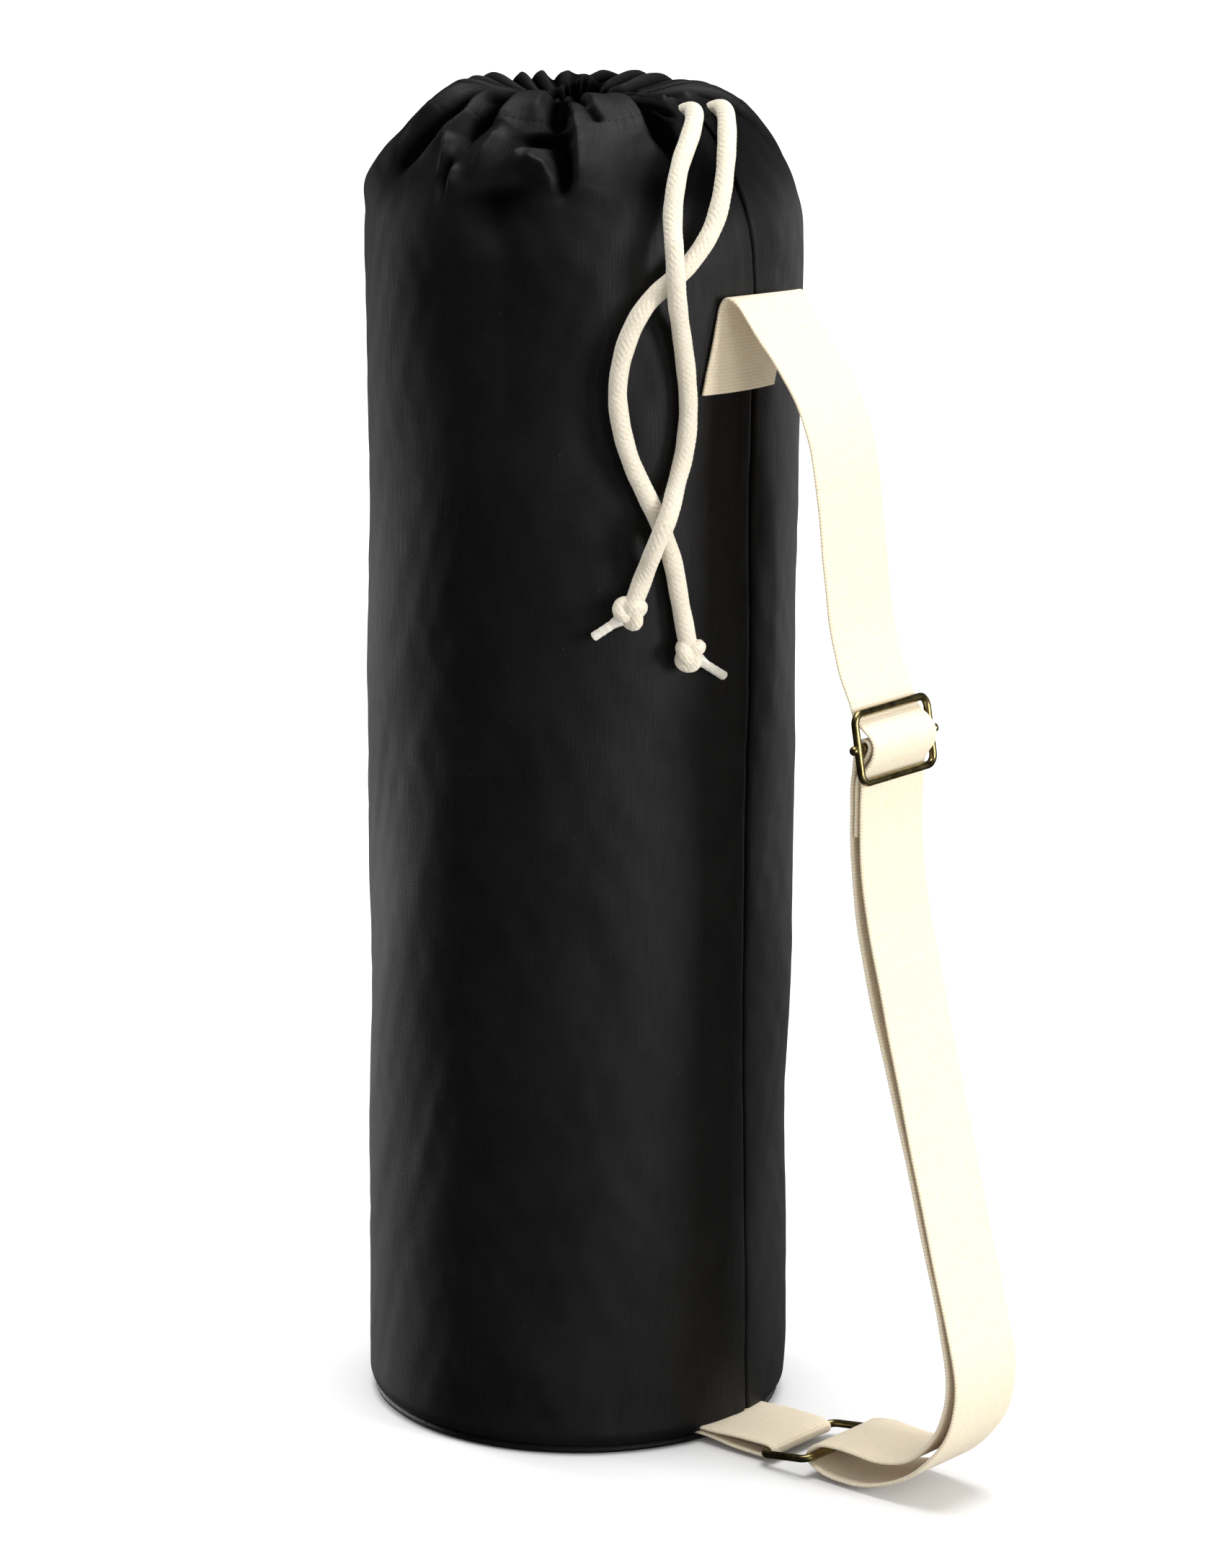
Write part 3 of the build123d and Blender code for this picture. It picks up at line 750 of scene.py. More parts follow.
def canvas_relief(azimuth, u):
    """How far the cloth stands out of the plain outline, in millimetres."""
    radius = outline_at(u)[0][..., 0]
    folds = DOME_FOLDS + FAR_FOLDS + WALL_FOLDS
    on_outside = step_between(u, 97.0, 90.0)
    relief = fold_relief(azimuth, u, radius, folds) * on_outside
    relief = np.where(relief > 0, relief * (1 - 0.45 * step_between(u, 74.0, 88.0)), relief)
    # broad dips and small crumples, calmer at the foot seam and under the sewn strap end
    calm_foot = step_between(u, -462.0, -440.0)
    beside_strap = np.hypot((azimuth + 5.5) * 1.44, np.maximum(np.abs(u + 34.0) - 16.0, 0))
    calm_strap = step_between(beside_strap, 20.0, 34.0)
    calm = calm_foot * calm_strap * step_between(u, 58.0, 30.0)
    relief += 0.75 * calm * wave_relief(azimuth, u, BROAD_WAVES)
    relief += 0.12 * calm_foot * calm_strap * wave_relief(azimuth, u, SMALL_WAVES)
    # gathers: broad ones of the hem, and fine ones in the mouth
    warp = 3.0 * np.sin(np.radians(azimuth * 5 + 40)) + 1.6 * np.sin(np.radians(azimuth * 11))
    broad = np.abs(np.cos(np.radians((azimuth + warp) * 7.5))) - 0.6
    far_side = step_between(np.abs(wrapped(azimuth + 50.0)), 50.0, 100.0)
    relief += (0.7 + 1.2 * far_side) * broad * step_between(u, 62.0, 84.0) * step_between(u, 112.0, 96.0)
    fine = np.abs(np.cos(np.radians((azimuth + warp * 0.8) * 21.0))) - 0.6
    relief += 2.4 * fine * step_between(u, 84.0, 93.0) * step_between(u, 126.0, 110.0)
    # a tuck in the hem stops at the cord inside it
    deepest = -3.8 - 9.0 * step_between(u, 69.0, 54.0)
    relief = np.where(u < 100.0, np.maximum(relief, deepest), relief)
    # the stitch line of the hem, and the side seam
    relief -= 0.2 * np.exp(-(((u - STITCH_U) / 0.8) ** 2)) + 0.1 * np.exp(-(((u - STITCH_U) / 2.5) ** 2))
    beside_seam = from_seam(azimuth, u, radius)
    on_wall = step_between(u, STITCH_U + 14.0, STITCH_U)
    groove = -1.1 * np.exp(-((beside_seam / 1.1) ** 2))
    ply = 0.28 * step_between(beside_seam, -8.0, -6.5) * step_between(beside_seam, 0.2, -0.4)
    relief += (groove + ply) * on_wall
    return relief


def fold_shade_depth(azimuth, u):
    """Painted shade: depth below the ridges nearby, which the folds' own relief gives; the mouth's
    inside and the side seam's groove are painted deep too.
    """
    relief = canvas_relief(azimuth, u)
    low, high = FOLD_SHADE_RANGE
    deep = (high - relief) / (high - low)
    beside_seam = from_seam(azimuth, u, outline_at(u)[0][..., 0])
    seam = np.exp(-((beside_seam / 1.0) ** 2)) * step_between(u, STITCH_U + 14.0, STITCH_U)
    inside = 0.6 * step_between(u, 89.0, 96.0) + step_between(u, 98.0, 108.0)
    return np.maximum(deep, 0) * step_between(u, 10.0, 34.0) + inside + seam


def canvas_points(azimuth, u, inset=0.0):
    """Points of the cloth, in metres; inset goes below its outer face by that many millimetres."""
    place, outward = outline_at(u)
    stand = canvas_relief(azimuth, u) - inset
    radius = place[..., 0] + outward[..., 0] * stand
    height = place[..., 1] + outward[..., 1] * stand
    outward_shift, rise = mouth_shift(azimuth, step_between(u, 66.0, 92.0))
    angle = np.radians(azimuth)
    drift = step_between(u, 50.0, 92.0)
    across = (radius + outward_shift) * np.cos(angle) + drift * MOUTH_DRIFT[0]
    depth = (radius + outward_shift) * np.sin(angle) + drift * MOUTH_DRIFT[1]
    return np.stack([across, depth, height + rise], -1) * MM


def mouth_shift(azimuth, rim):
    """The gathered mouth is neither quite round nor level: outward and upward shift at its rim."""
    level = np.zeros_like(azimuth)
    behind = 0.5 + 0.5 * np.cos(np.radians(azimuth - 130.0))
    peak = np.exp(-((wrapped(azimuth - 118.0) / 20.0) ** 2))
    before = np.exp(-(((azimuth + 60.0) / 16.0) ** 2))
    outward = 1.2 * wave_relief(azimuth, level, RIM_WAVES) - 3.0 * behind
    rise = 0.9 * wave_relief(azimuth + 70.0, level, RIM_WAVES) + 5.6 * peak - 0.2 * before
    return rim * outward, rim * (rise - 2.9 - 4.6 * behind)


def canvas_grid(heights, inset=0.0):
    azimuth = wrapped(np.arange(COLUMNS) * 360.0 / COLUMNS)
    a, u = np.meshgrid(azimuth, heights)
    return canvas_points(a, u, inset), a, u


def cloth_coordinates(azimuth, u):
    """Millimetres round and up the flat cloth."""
    return np.stack([np.radians(azimuth) * WALL_R / MM, u, np.zeros_like(u)], -1).reshape(-1, 3)


def make_wall(look):
    """The body panel as a closed skin: outer face, inner face and the two edges between them."""
    low, high = OUTLINE_U[0], STITCH_U
    wall = np.linspace(low + 8.0, -4.0, int((-low - 12.0) / WALL_STEP))
    dome = np.arange(-3.0, high - 0.4, DOME_STEP)
    heights = np.concatenate([np.linspace(low, low + 7.0, 8), wall, dome, [high - 0.12, high]])
    inner_heights = np.concatenate([heights[:1], heights[6:-1:4], heights[-1:]])
    outer, a, u = canvas_grid(heights)
    inner, b, v = canvas_grid(inner_heights, CLOTH / MM)
    vertices = np.concatenate([outer.reshape(-1, 3), inner.reshape(-1, 3)])
    faces = grid_faces(len(heights), COLUMNS, wrap=True)
    offset = outer.shape[0] * COLUMNS
    faces += [f[::-1] for f in grid_faces(len(inner_heights), COLUMNS, wrap=True, offset=offset)]
    top, inner_top = (len(heights) - 1) * COLUMNS, offset + (len(inner_heights) - 1) * COLUMNS
    faces += joined_rows(offset, 0, COLUMNS) + joined_rows(top, inner_top, COLUMNS)
    piece = new_mesh("canvas_body", vertices, faces, look)
    add_cloth_coordinates(piece, np.concatenate([cloth_coordinates(a, u), cloth_coordinates(b, v)]))
    # the inner face is painted in full shade
    add_fold_shade(piece, np.concatenate([fold_shade_depth(a, u).ravel(), np.ones(b.size)]))
    return piece


def make_hem(look):
    """The folded hem of the mouth as a closed ring; the cord runs inside it."""
    outside = np.arange(STITCH_U + 0.8, 118.0, 0.8)
    inside = np.arange(118.0, OUTLINE_U[-1], 2.0)
    heights = np.concatenate([[STITCH_U, STITCH_U + 0.12], outside, inside])
    points, a, u = canvas_grid(heights)
    vertices = points.reshape(-1, 3)
    faces = grid_faces(len(heights), COLUMNS, wrap=True)
    faces += joined_rows((len(heights) - 1) * COLUMNS, 0, COLUMNS)
    piece = new_mesh("mouth_hem", vertices, faces, look)
    add_cloth_coordinates(piece, cloth_coordinates(a, u))
    add_fold_shade(piece, fold_shade_depth(a, u))
    return piece


SEAM_HALF = 5.2  # half the width of the seam's turned-in edges
SEAM_DEPTHS = (1.2, 2.3)  # how far below the canvas they start and end


def make_seam_allowance(look):
    """The turned-in edges of the side seam, felled to the inside of the wall."""
    heights = np.linspace(-452.0, 44.0, 170)
    offsets = np.linspace(-SEAM_HALF, SEAM_HALF, 9)
    rows = []
    for inset in SEAM_DEPTHS:
        u, offset = np.meshgrid(heights, offsets, indexing="ij")
        radius = outline_at(u)[0][..., 0]
        azimuth = seam_azimuth(u) + np.degrees(offset / radius)
        curl = 0.5 * (offset / SEAM_HALF) ** 6 * (inset == SEAM_DEPTHS[1])
        rows.append((canvas_points(azimuth, u, inset - curl), azimuth, u))
    outer, inner = rows[0][0].reshape(-1, 3), rows[1][0].reshape(-1, 3)
    count = len(offsets)
    faces = grid_faces(len(heights), count, wrap=False)
    shift = len(outer)
    faces += [tuple(i + shift for i in f[::-1]) for f in grid_faces(len(heights), count, wrap=False)]
    for i in range(len(heights) - 1):
        a, b = i * count, (i + 1) * count
        faces.append((a, b, b + shift, a + shift))
        faces.append((a + count - 1, a + count - 1 + shift, b + count - 1 + shift, b + count - 1))
    end = (len(heights) - 1) * count
    for j in range(count - 1):
        faces.append((j, j + shift, j + 1 + shift, j + 1))
        faces.append((end + j, end + j + 1, end + j + 1 + shift, end + j + shift))
    piece = new_mesh("side_seam_allowance", np.concatenate([outer, inner]), faces, look)
    add_cloth_coordinates(piece, np.concatenate([cloth_coordinates(row[1], row[2]) for row in rows]))
    return piece


def make_stitches(name, centres, directions, normals, look, length=2.2, thick=0.34):
    """A row of separate stitches, each a short bead of thread pulled into the cloth at its ends."""
    around, rings = 7, 5
    angles = np.linspace(0, 2 * math.pi, around, endpoint=False)
    vertices, faces = [], []
    for centre, direction, normal in zip(centres, directions, normals):
        side = np.cross(direction, normal)
        base = len(vertices)
        for i in range(rings):
            share = i / (rings - 1)
            sink = (2 * share - 1) ** 2
            radius = thick * (1 - 0.55 * sink) * MM
            middle = centre + direction * (share - 0.5) * length * MM - normal * 0.28 * sink * MM
            for angle in angles:
                vertices.append(middle + radius * (math.cos(angle) * side + math.sin(angle) * normal))
        faces += grid_faces(rings, around, wrap=True, offset=base)
        faces.append(tuple(base + j for j in reversed(range(around))))
        faces.append(tuple(base + (rings - 1) * around + j for j in range(around)))
    return new_mesh(name, vertices, faces, look)


def stitch_ring(name, u, count, look):
    """Stitches round the bag at one height of the cloth."""
    azimuth = np.arange(count) * 360.0 / count - 180.0
    height = np.full(count, float(u))
    centres = canvas_points(azimuth, height, 0.10)
    ahead = canvas_points(azimuth + 0.6, height, 0.10)
    up = canvas_points(azimuth, height + 0.7, 0.10)
    directions = ahead - centres
    directions /= np.linalg.norm(directions, axis=1, keepdims=True)
    normals = np.cross(directions, up - centres)
    normals /= np.linalg.norm(normals, axis=1, keepdims=True)
    return make_stitches(name, centres, directions, normals, look, 2.0, 0.22)


PIPING_SIDES = 18


def make_base(canvas_look, piping_look):
    """The base disc, its turned edge, and the piping sewn between it and the wall."""
    low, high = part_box("base_panel")
    outer, thickness = high.x, high.z - low.z
    edge_radii = [outer - 0.0012, outer - 0.0003, outer]
    radii = np.concatenate([np.linspace(0.004, outer - 0.003, 26), edge_radii])
    angles = np.linspace(0, 2 * math.pi, 180, endpoint=False)
    r, a = np.meshgrid(radii, angles, indexing="ij")
    drop = np.where(r > outer - 0.0014, 1.0, 0.0)
    ripple = 0.0003 * np.sin(7 * a + 2) * np.sin(r * 90) + 0.0002 * np.sin(16 * a) * (r / outer) ** 6
    top = low.z + thickness - 0.0005 + ripple - 0.0005 * drop
    bottom = low.z + 0.0004 * (r / outer < 0.93) + 0.0004 * drop
    rings = np.concatenate([np.stack([r * np.cos(a), r * np.sin(a), z], -1) for z in (top, bottom)])
    count, rows = len(angles), len(radii)
    upper, lower = rings[:rows].reshape(-1, 3), rings[rows:].reshape(-1, 3)
    faces = [f[::-1] for f in grid_faces(rows, count, wrap=True)]
    shift = rows * count
    faces += grid_faces(rows, count, wrap=True, offset=shift)
    edge, centre = (rows - 1) * count, len(upper) + len(lower)
    for j in range(count):
        k = (j + 1) % count
        faces.append((edge + j, shift + edge + j, shift + edge + k, edge + k))
        faces.append((centre, j, k))
        faces.append((centre + 1, shift + k, shift + j))
    middle = np.array([[0, 0, low.z + thickness - 0.0005], [0, 0, low.z + 0.0004]])
    base = new_mesh("base_disc", np.concatenate([upper, lower, middle]), faces, canvas_look)
    add_cloth_coordinates(base, np.concatenate([upper, lower, middle]) / MM)
    low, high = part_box("base_piping")
    tube = (high.z - low.z) / 2
    middle_radius = high.x - tube * 1.25
    turns = np.linspace(0, 2 * math.pi, 420, endpoint=False)
    around = np.linspace(0, 2 * math.pi, PIPING_SIDES, endpoint=False)
    t, s = np.meshgrid(turns, around, indexing="ij")
    pucker = 1 - 0.05 * (0.5 + 0.5 * np.cos(t * 88 + 2 * np.sin(3 * t))) - 0.03 * np.cos(13 * t)
    radius = middle_radius + tube * 1.25 * np.cos(s) * pucker
    height = (low.z + high.z) / 2 + tube * np.sin(s) * (0.985 + 0.015 * pucker)
    points = np.stack([radius * np.cos(t), radius * np.sin(t), height], -1).reshape(-1, 3)
    faces = []
    for i in range(len(turns)):
        for j in range(PIPING_SIDES):
            a, b = i * PIPING_SIDES, ((i + 1) % len(turns)) * PIPING_SIDES
            k = (j + 1) % PIPING_SIDES
            faces.append((a + j, b + j, b + k, a + k))
    piping = new_mesh("base_seam_piping", points, faces, piping_look)
    slant = np.stack([t * 80 + s * 1.6, s * 1.6 - t * 80, np.zeros_like(t)], -1).reshape(-1, 3)
    add_cloth_coordinates(piping, slant * 0.7)
    return base, piping


def make_bag(looks):
    """Every canvas piece of the bag, on the body named bag."""
    wall = make_wall(looks["canvas"])
    hem = make_hem(looks["canvas"])
    allowance = make_seam_allowance(looks["canvas"])
    base, piping = make_base(looks["canvas"], looks["piping"])
    hem_stitches = stitch_ring("hem_stitches", STITCH_U, 132, looks["black_thread"])
    foot_stitches = stitch_ring("foot_stitches", OUTLINE_U[0] + 0.9, 176, looks["black_thread"])
    for piece, nodes, slot in (
        (wall, ["body_panel"], "canvas"),
        (hem, ["drawcord_casing"], "canvas"),
        (allowance, ["side_seam"], "canvas"),
        (base, ["base_panel"], "canvas"),
        (piping, ["base_piping"], "piping"),
        (hem_stitches, [], "canvas"),
        (foot_stitches, [], "canvas"),
    ):
        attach(piece, "bag")
        if nodes:
            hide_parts(*nodes)


# ---- Webbing: strap, its sewn end, and the ring tab ----
SLIDER_TOP = (150.0, 304.0)
SLIDER_BOTTOM = (154.7, 278.7)
SLIDER_DOWN = (Vector(SLIDER_BOTTOM) - Vector(SLIDER_TOP)).normalized()


def at_slider(down, out):
    """Point (x, z) that lies down the slider from its top bar and outward from its plane."""
    return (
        SLIDER_TOP[0] + down * SLIDER_DOWN.x - out * SLIDER_DOWN.y,
        SLIDER_TOP[1] + down * SLIDER_DOWN.y + out * SLIDER_DOWN.x,
    )


# Centreline of the webbing in the XZ plane, from its sewn end to its looped end.
STRAP_ROUTE = [
    (84.2, 441.5), (84.9, 449.8), (89.9, 449.6), (94.8, 442.3), (103.4, 433.4), (113.0, 423.0),
    (121.5, 410.0), (126.5, 395.0), (130.0, 374.0), (132.8, 352.0), (136.0, 332.0), (140.8, 316.5),
    at_slider(-1.5, -3.0), at_slider(2.6, -2.7), at_slider(9.8, 4.9), at_slider(15.9, 4.9),
    at_slider(23.1, -2.7), at_slider(28.5, -3.4), (151.5, 256.0), (154.0, 233.0), (160.5, 208.0),
    (168.0, 180.0), (177.0, 147.0), (187.0, 111.0), (197.0, 76.0), (202.5, 57.0), (201.5, 38.0),
    (192.0, 22.0), (176.0, 8.5), (158.0, 2.4), (143.0, 2.2), (132.55, 5.7), (132.55, 11.3),
    (141.0, 15.4), (155.0, 15.0), (170.0, 14.4), (184.0, 20.5), (194.5, 34.0), (199.0, 51.0),
    (194.5, 75.0), (184.5, 109.0), (174.0, 146.0), (163.5, 178.5), (155.0, 206.5), (149.6, 232.0),
    (147.4, 255.0), at_slider(29.0, -8.5), at_slider(19.5, -6.0), at_slider(10.2, -2.6),
    at_slider(10.2, 2.6), at_slider(13.9, 2.75), at_slider(22.0, -4.3), at_slider(29.0, -6.2),
    at_slider(46.0, -9.3),
]
TAB_ROUTE = [
    (74.0, 5.6), (84.0, 6.1), (100.0, 7.3), (115.1, 7.5), (115.1, 2.45), (100.0, 2.2), (84.0, 4.0),
    (74.0, 3.6),
]
# Each stretch: the piece's name, its first and last corner, the nodes it stands for.
STRETCHES = [
    ("webbing_upper_run", 4, 7, ["strap_upper_run"]),
    ("webbing_slider_approach", 8, 11, ["strap_slider_approach"]),
    ("webbing_slider_weave", 12, 16, ["strap_slider_weave"]),
    ("webbing_front_top", 17, 20, ["strap_front_top"]),
    ("webbing_front_run", 21, 29, ["strap_front_run"]),
    ("webbing_ring_loop", 30, 33, ["strap_ring_loop"]),
    ("webbing_back_run", 34, 42, ["strap_back_run"]),
    ("webbing_back_top", 43, 45, ["strap_back_top"]),
    ("webbing_end_loop", 46, 52, ["strap_end_loop"]),
]


def webbing_line(route, first, last):
    """Smooth centreline round those corners: points, headings, and how far along the route each lies."""
    places = [np.array(p, float) for p in route]
    middles = [(a + b) / 2 for a, b in zip(places, places[1:])]
    middles[0], middles[-1] = places[0], places[-1]
    points, headings, along = [], [], []
    for corner in range(first, last + 1):
        before, place, after = middles[corner - 1], places[corner], middles[corner]
        span = np.linalg.norm(place - before) + np.linalg.norm(after - place)
        arriving = (place - before) / max(np.linalg.norm(place - before), 1e-9)
        leaving = (after - place) / max(np.linalg.norm(after - place), 1e-9)
        count = max(6, int(span / 1.4), int(np.linalg.norm(arriving - leaving) * 14))
        for t in np.linspace(0, 1, count + 1)[(1 if points else 0):]:
            heading = (1 - t) * (place - before) + t * (after - place)
            points.append((1 - t) ** 2 * before + 2 * t * (1 - t) * place + t**2 * after)
            headings.append(heading / np.linalg.norm(heading))
            along.append(corner + t)
    return np.array(points), np.array(headings), np.array(along)


def webbing_section(width, thick):
    """Closed outline across the webbing, thicker at the rolled selvedges: (across, out) points."""
    half = width / 2
    right_half = (0.2, 0.4, 0.6, 0.8, 0.88, 0.93, 0.97, 1.0)
    upper = []
    for y in (*(-y for y in reversed(right_half)), 0.0, *right_half):
        height = thick * (0.5 if abs(y) > 0.9 else 0.46)
        if abs(y) == 1.0:
            height = thick * 0.22
        elif abs(y) == 0.97:
            height = thick * 0.44
        upper.append((y * half, height))
    lower = [(y, -h) for y, h in reversed(upper)]
    return np.array(upper + lower)


def section_normals(section):
    """Direction that faces out of the section at each of its points."""
    edges = np.roll(section, -1, axis=0) - section
    faces = np.stack([-edges[:, 1], edges[:, 0]], -1)
    faces /= np.linalg.norm(faces, axis=1, keepdims=True)
    normals = faces + np.roll(faces, 1, axis=0)
    return normals / np.linalg.norm(normals, axis=1, keepdims=True)


def webbing_mesh(name, line, start, look, bend=None):
    """A band of webbing along a line in the XZ plane, whose far end lies start millimetres along it."""
    points, headings, along = line
    section = webbing_section(STRAP_W / MM - 0.3, STRAP_T / MM)
    facing = section_normals(section)
    count = len(section)
    lengths = lengths_along(points)
    out = np.stack([-headings[:, 1], headings[:, 0]], -1)
    y, h = section[None, :, 0], section[None, :, 1]
    half = section[:, 0].max()
    stand = h + 0.10 * np.sin(along[:, None] * 5.1 + y * 0.21) * (y / half) ** 2
    body = [points[:, :1] + out[:, :1] * stand, y + 0 * stand, points[:, 1:] + out[:, 1:] * stand]
    vertices = np.stack(body, -1).reshape(-1, 3)
    ny, nh = facing[None, :, 0], facing[None, :, 1]
    normals = np.stack([out[:, :1] * nh, ny + 0 * stand, out[:, 1:] * nh], -1).reshape(-1, 3)
    flat = [y + 0.2 * h + 0 * stand, start + lengths[:, None] + 0 * stand, 0 * stand]
    coordinates = np.stack(flat, -1)
    if bend is not None:
        keys, ran = np.repeat(along, count), np.repeat(lengths, count)
        moved = bend(vertices, keys, ran)
        normals = (bend(vertices + 0.01 * normals, keys, ran) - moved) / 0.01
        vertices = moved
    normals /= np.linalg.norm(normals, axis=1, keepdims=True)
    faces = [f[::-1] for f in grid_faces(len(points), count, wrap=True)]
    sides = len(faces)
    last = (len(points) - 1) * count
    for k in range(count // 2 - 1):
        faces.append((k + 1, count - 2 - k, count - 1 - k, k))
        faces.append((last + count - 1 - k, last + count - 2 - k, last + k + 1, last + k))
    piece = new_mesh(name, vertices * MM, faces, look)
    smooth = np.arange(len(faces)) < sides
    piece.data.polygons.foreach_set("use_smooth", smooth)
    split = []
    for polygon, is_side in zip(piece.data.polygons, smooth):
        for vertex in polygon.vertices:
            split.append(normals[vertex] if is_side else polygon.normal[:])
    piece.data.normals_split_custom_set([tuple(n) for n in split])
    add_cloth_coordinates(piece, coordinates.reshape(-1, 3))
    return piece, start + lengths[-1]


FLAP_R = 84.0  # radius of the wall under the sewn end
FLAP_FOOT_R = 83.7  # and where its lower edge lies


def sewn_end_line():
    """Centreline from the lower edge of the sewn end, up along the wall, outward and over the fold."""
    fold, headings, along = webbing_line(STRAP_ROUTE, 1, 3)
    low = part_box("strap_top_end")[0].z / MM + 3.6
    rise = np.linspace(low, STRAP_ROUTE[0][1], 26)
    share = (rise - low) / (rise[-1] - low)
    flap = np.stack([FLAP_FOOT_R + (STRAP_ROUTE[0][0] - FLAP_FOOT_R) * share**1.15, rise], -1)
    line = np.concatenate([flap[:-1], fold])
    heading = np.gradient(line, axis=0)
    heading /= np.linalg.norm(heading, axis=1, keepdims=True)
    heading[len(flap) + 2 :] = headings[3:]
    return line, heading, np.concatenate([np.linspace(0.0, 0.99, len(rise) - 1), along])


def lay_on_wall(vertices, along, lengths):
    """Wraps the sewn end round the wall, lets go of it towards the fold, and sets the fold askew."""
    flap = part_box("strap_top_end")
    centre = math.atan2((flap[0].y + flap[1].y) / 2, flap[1].x)
    sway = centre * (1 - np.clip(lengths / 34.0, 0, 1))
    hold = 1 - step_between(lengths, 2.0, 32.0)
    # its lower edge, turned under, stands out a little
    radius = vertices[:, 0] * (1 + 0.004 * step_between(lengths, 7.0, 5.5))
    angle = vertices[:, 1] / FLAP_R
    out = radius * np.cos(angle) * hold + vertices[:, 0] * (1 - hold)
    across = radius * np.sin(angle) * hold + vertices[:, 1] * (1 - hold)
    askew = np.exp(-(((along - 1.6) / 0.9) ** 2)) * step_between(along, 3.6, 2.6)
    out = out + 0.17 * vertices[:, 1] * askew
    height = vertices[:, 2] - 0.02 * vertices[:, 1] * askew
    x = out * np.cos(sway) - across * np.sin(sway)
    y = out * np.sin(sway) + across * np.cos(sway)
    return np.stack([x, y, height], -1)


def make_strap(looks):
    web = looks["webbing"]
    end, ran = webbing_mesh("webbing_sewn_end", sewn_end_line(), 0.0, web, lay_on_wall)
    pieces = {"webbing_sewn_end": end}
    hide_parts("strap_top_end", "strap_top_fold")
    for name, first, last, nodes in STRETCHES:
        pieces[name], ran = webbing_mesh(name, webbing_line(STRAP_ROUTE, first, last), ran, web)
        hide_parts(*nodes)
    line = webbing_line(TAB_ROUTE, 1, len(TAB_ROUTE) - 2)
    tab, _ = webbing_mesh("webbing_ring_tab", line, 0.0, web, narrow_at_ring)
    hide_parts("ring_tab")
    pieces["webbing_ring_tab"] = tab
    for name, body in (
        ("webbing_upper_run", "strap"),
        ("webbing_slider_weave", "slider"),
        ("webbing_front_run", "strap"),
        ("webbing_back_run", "strap"),
        ("webbing_end_loop", "slider"),
    ):
        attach(pieces[name], body)
    for name, first_body, second_body, start, finish in (
        ("webbing_sewn_end", "bag", "strap", (86.5, 444.0), (98.0, 438.0)),
        ("webbing_slider_approach", "strap", "slider", (128.3, 384.5), at_slider(-6.0, -3.0)),
        ("webbing_front_top", "slider", "strap", at_slider(27.0, -3.2), (164.0, 194.0)),
        ("webbing_ring_loop", "strap", "ring", (150.0, 2.4), (134.0, 2.4)),
        ("webbing_back_top", "strap", "slider", (159.2, 192.5), at_slider(39.5, -8.5)),
        ("webbing_ring_tab", "bag", "strap", (84.0, 4.5), (111.0, 4.5)),
    ):
        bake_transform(pieces[name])
    make_strap_stitches(looks["cream_thread"])


def narrow_at_ring(vertices, along, lengths):
    """The tab's sides draw in a little where it goes round the ring's bar."""
    near = step_between(vertices[:, 0], 96.0, 112.0)
    vertices = vertices.copy()
    vertices[:, 1] *= 1 - 0.035 * near
    return vertices


def make_strap_stitches(look):
    """The row that closes the end loop behind the slider."""
    centres, directions, normals = [], [], []
    place = np.array(at_slider(40.0, -8.2 - 1.05))
    out = np.array([SLIDER_DOWN.y, -SLIDER_DOWN.x])
    for y in np.arange(-17.0, 17.1, 2.8):
        centres.append(np.array([place[0] + out[0] * 0.2, y, place[1] + out[1] * 0.2]) * MM)
        directions.append(np.array([0.0, 1.0, 0.0]))
        normals.append(np.array([out[0], 0.0, out[1]]))
    row = make_stitches("end_loop_stitches", centres, directions, normals, look, 2.2, 0.36)
    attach(row, "slider")


# ---- Drawcord ----
# Centrelines of the two free ends, from inside the hem down to the knots, in millimetres.
TAIL_LEFT = [
    (48.0, -3.5, 512.6), (54.5, -4.5, 516.0), (61.0, -9.5, 515.2), (67.5, -20.0, 509.0),
    (71.0, -30.0, 500.5), (74.0, -36.5, 491.5), (76.0, -40.5, 481.5), (82.5, -46.5, 470.0),
    (83.5, -46.5, 455.0), (79.5, -39.0, 441.5), (79.5, -35.5, 426.0), (80.0, -34.0, 410.0),
    (79.5, -35.5, 394.5), (79.0, -40.0, 382.5), (82.5, -47.5, 373.5), (79.5, -52.0, 361.5),
    (72.5, -49.5, 350.0), (71.0, -52.5, 341.5), (70.5, -55.0, 336.0),
]
TAIL_RIGHT = [
    (49.0, 12.0, 512.0), (55.5, 10.8, 515.6), (62.5, 6.5, 514.8), (70.5, -2.5, 508.5),
    (77.0, -11.0, 498.5), (81.5, -18.5, 487.5), (83.0, -25.0, 477.0), (81.5, -32.5, 467.5),
    (78.0, -40.0, 460.0), (73.0, -48.0, 453.0), (69.5, -53.0, 444.5), (66.5, -56.5, 432.5),
    (65.0, -58.0, 418.0), (66.5, -56.5, 403.5), (69.0, -53.5, 391.0), (72.5, -49.0, 379.5),
    (75.5, -43.5, 366.5), (78.0, -39.5, 353.5), (79.0, -37.0, 339.0), (80.5, -35.0, 327.0),
    (82.0, -34.5, 318.5),
]


def tube_mesh(name, line, radius, material):
    """A closed tube along a line; radius holds one row of values for each of its points."""
    rows, around = radius.shape
    sides, ups = carried_frames(line)
    angles = np.linspace(0, 2 * math.pi, around, endpoint=False)
    ring = (
        np.cos(angles)[None, :, None] * sides[:, None, :]
        + np.sin(angles)[None, :, None] * ups[:, None, :]
    )
    body = line[:, None, :] + ring * radius[:, :, None]
    vertices = np.concatenate([body.reshape(-1, 3), line[:1], line[-1:]])
    faces = grid_faces(rows, around, wrap=True) + end_fans(rows, around)
    return new_mesh(name, vertices, [f[::-1] for f in faces], material)


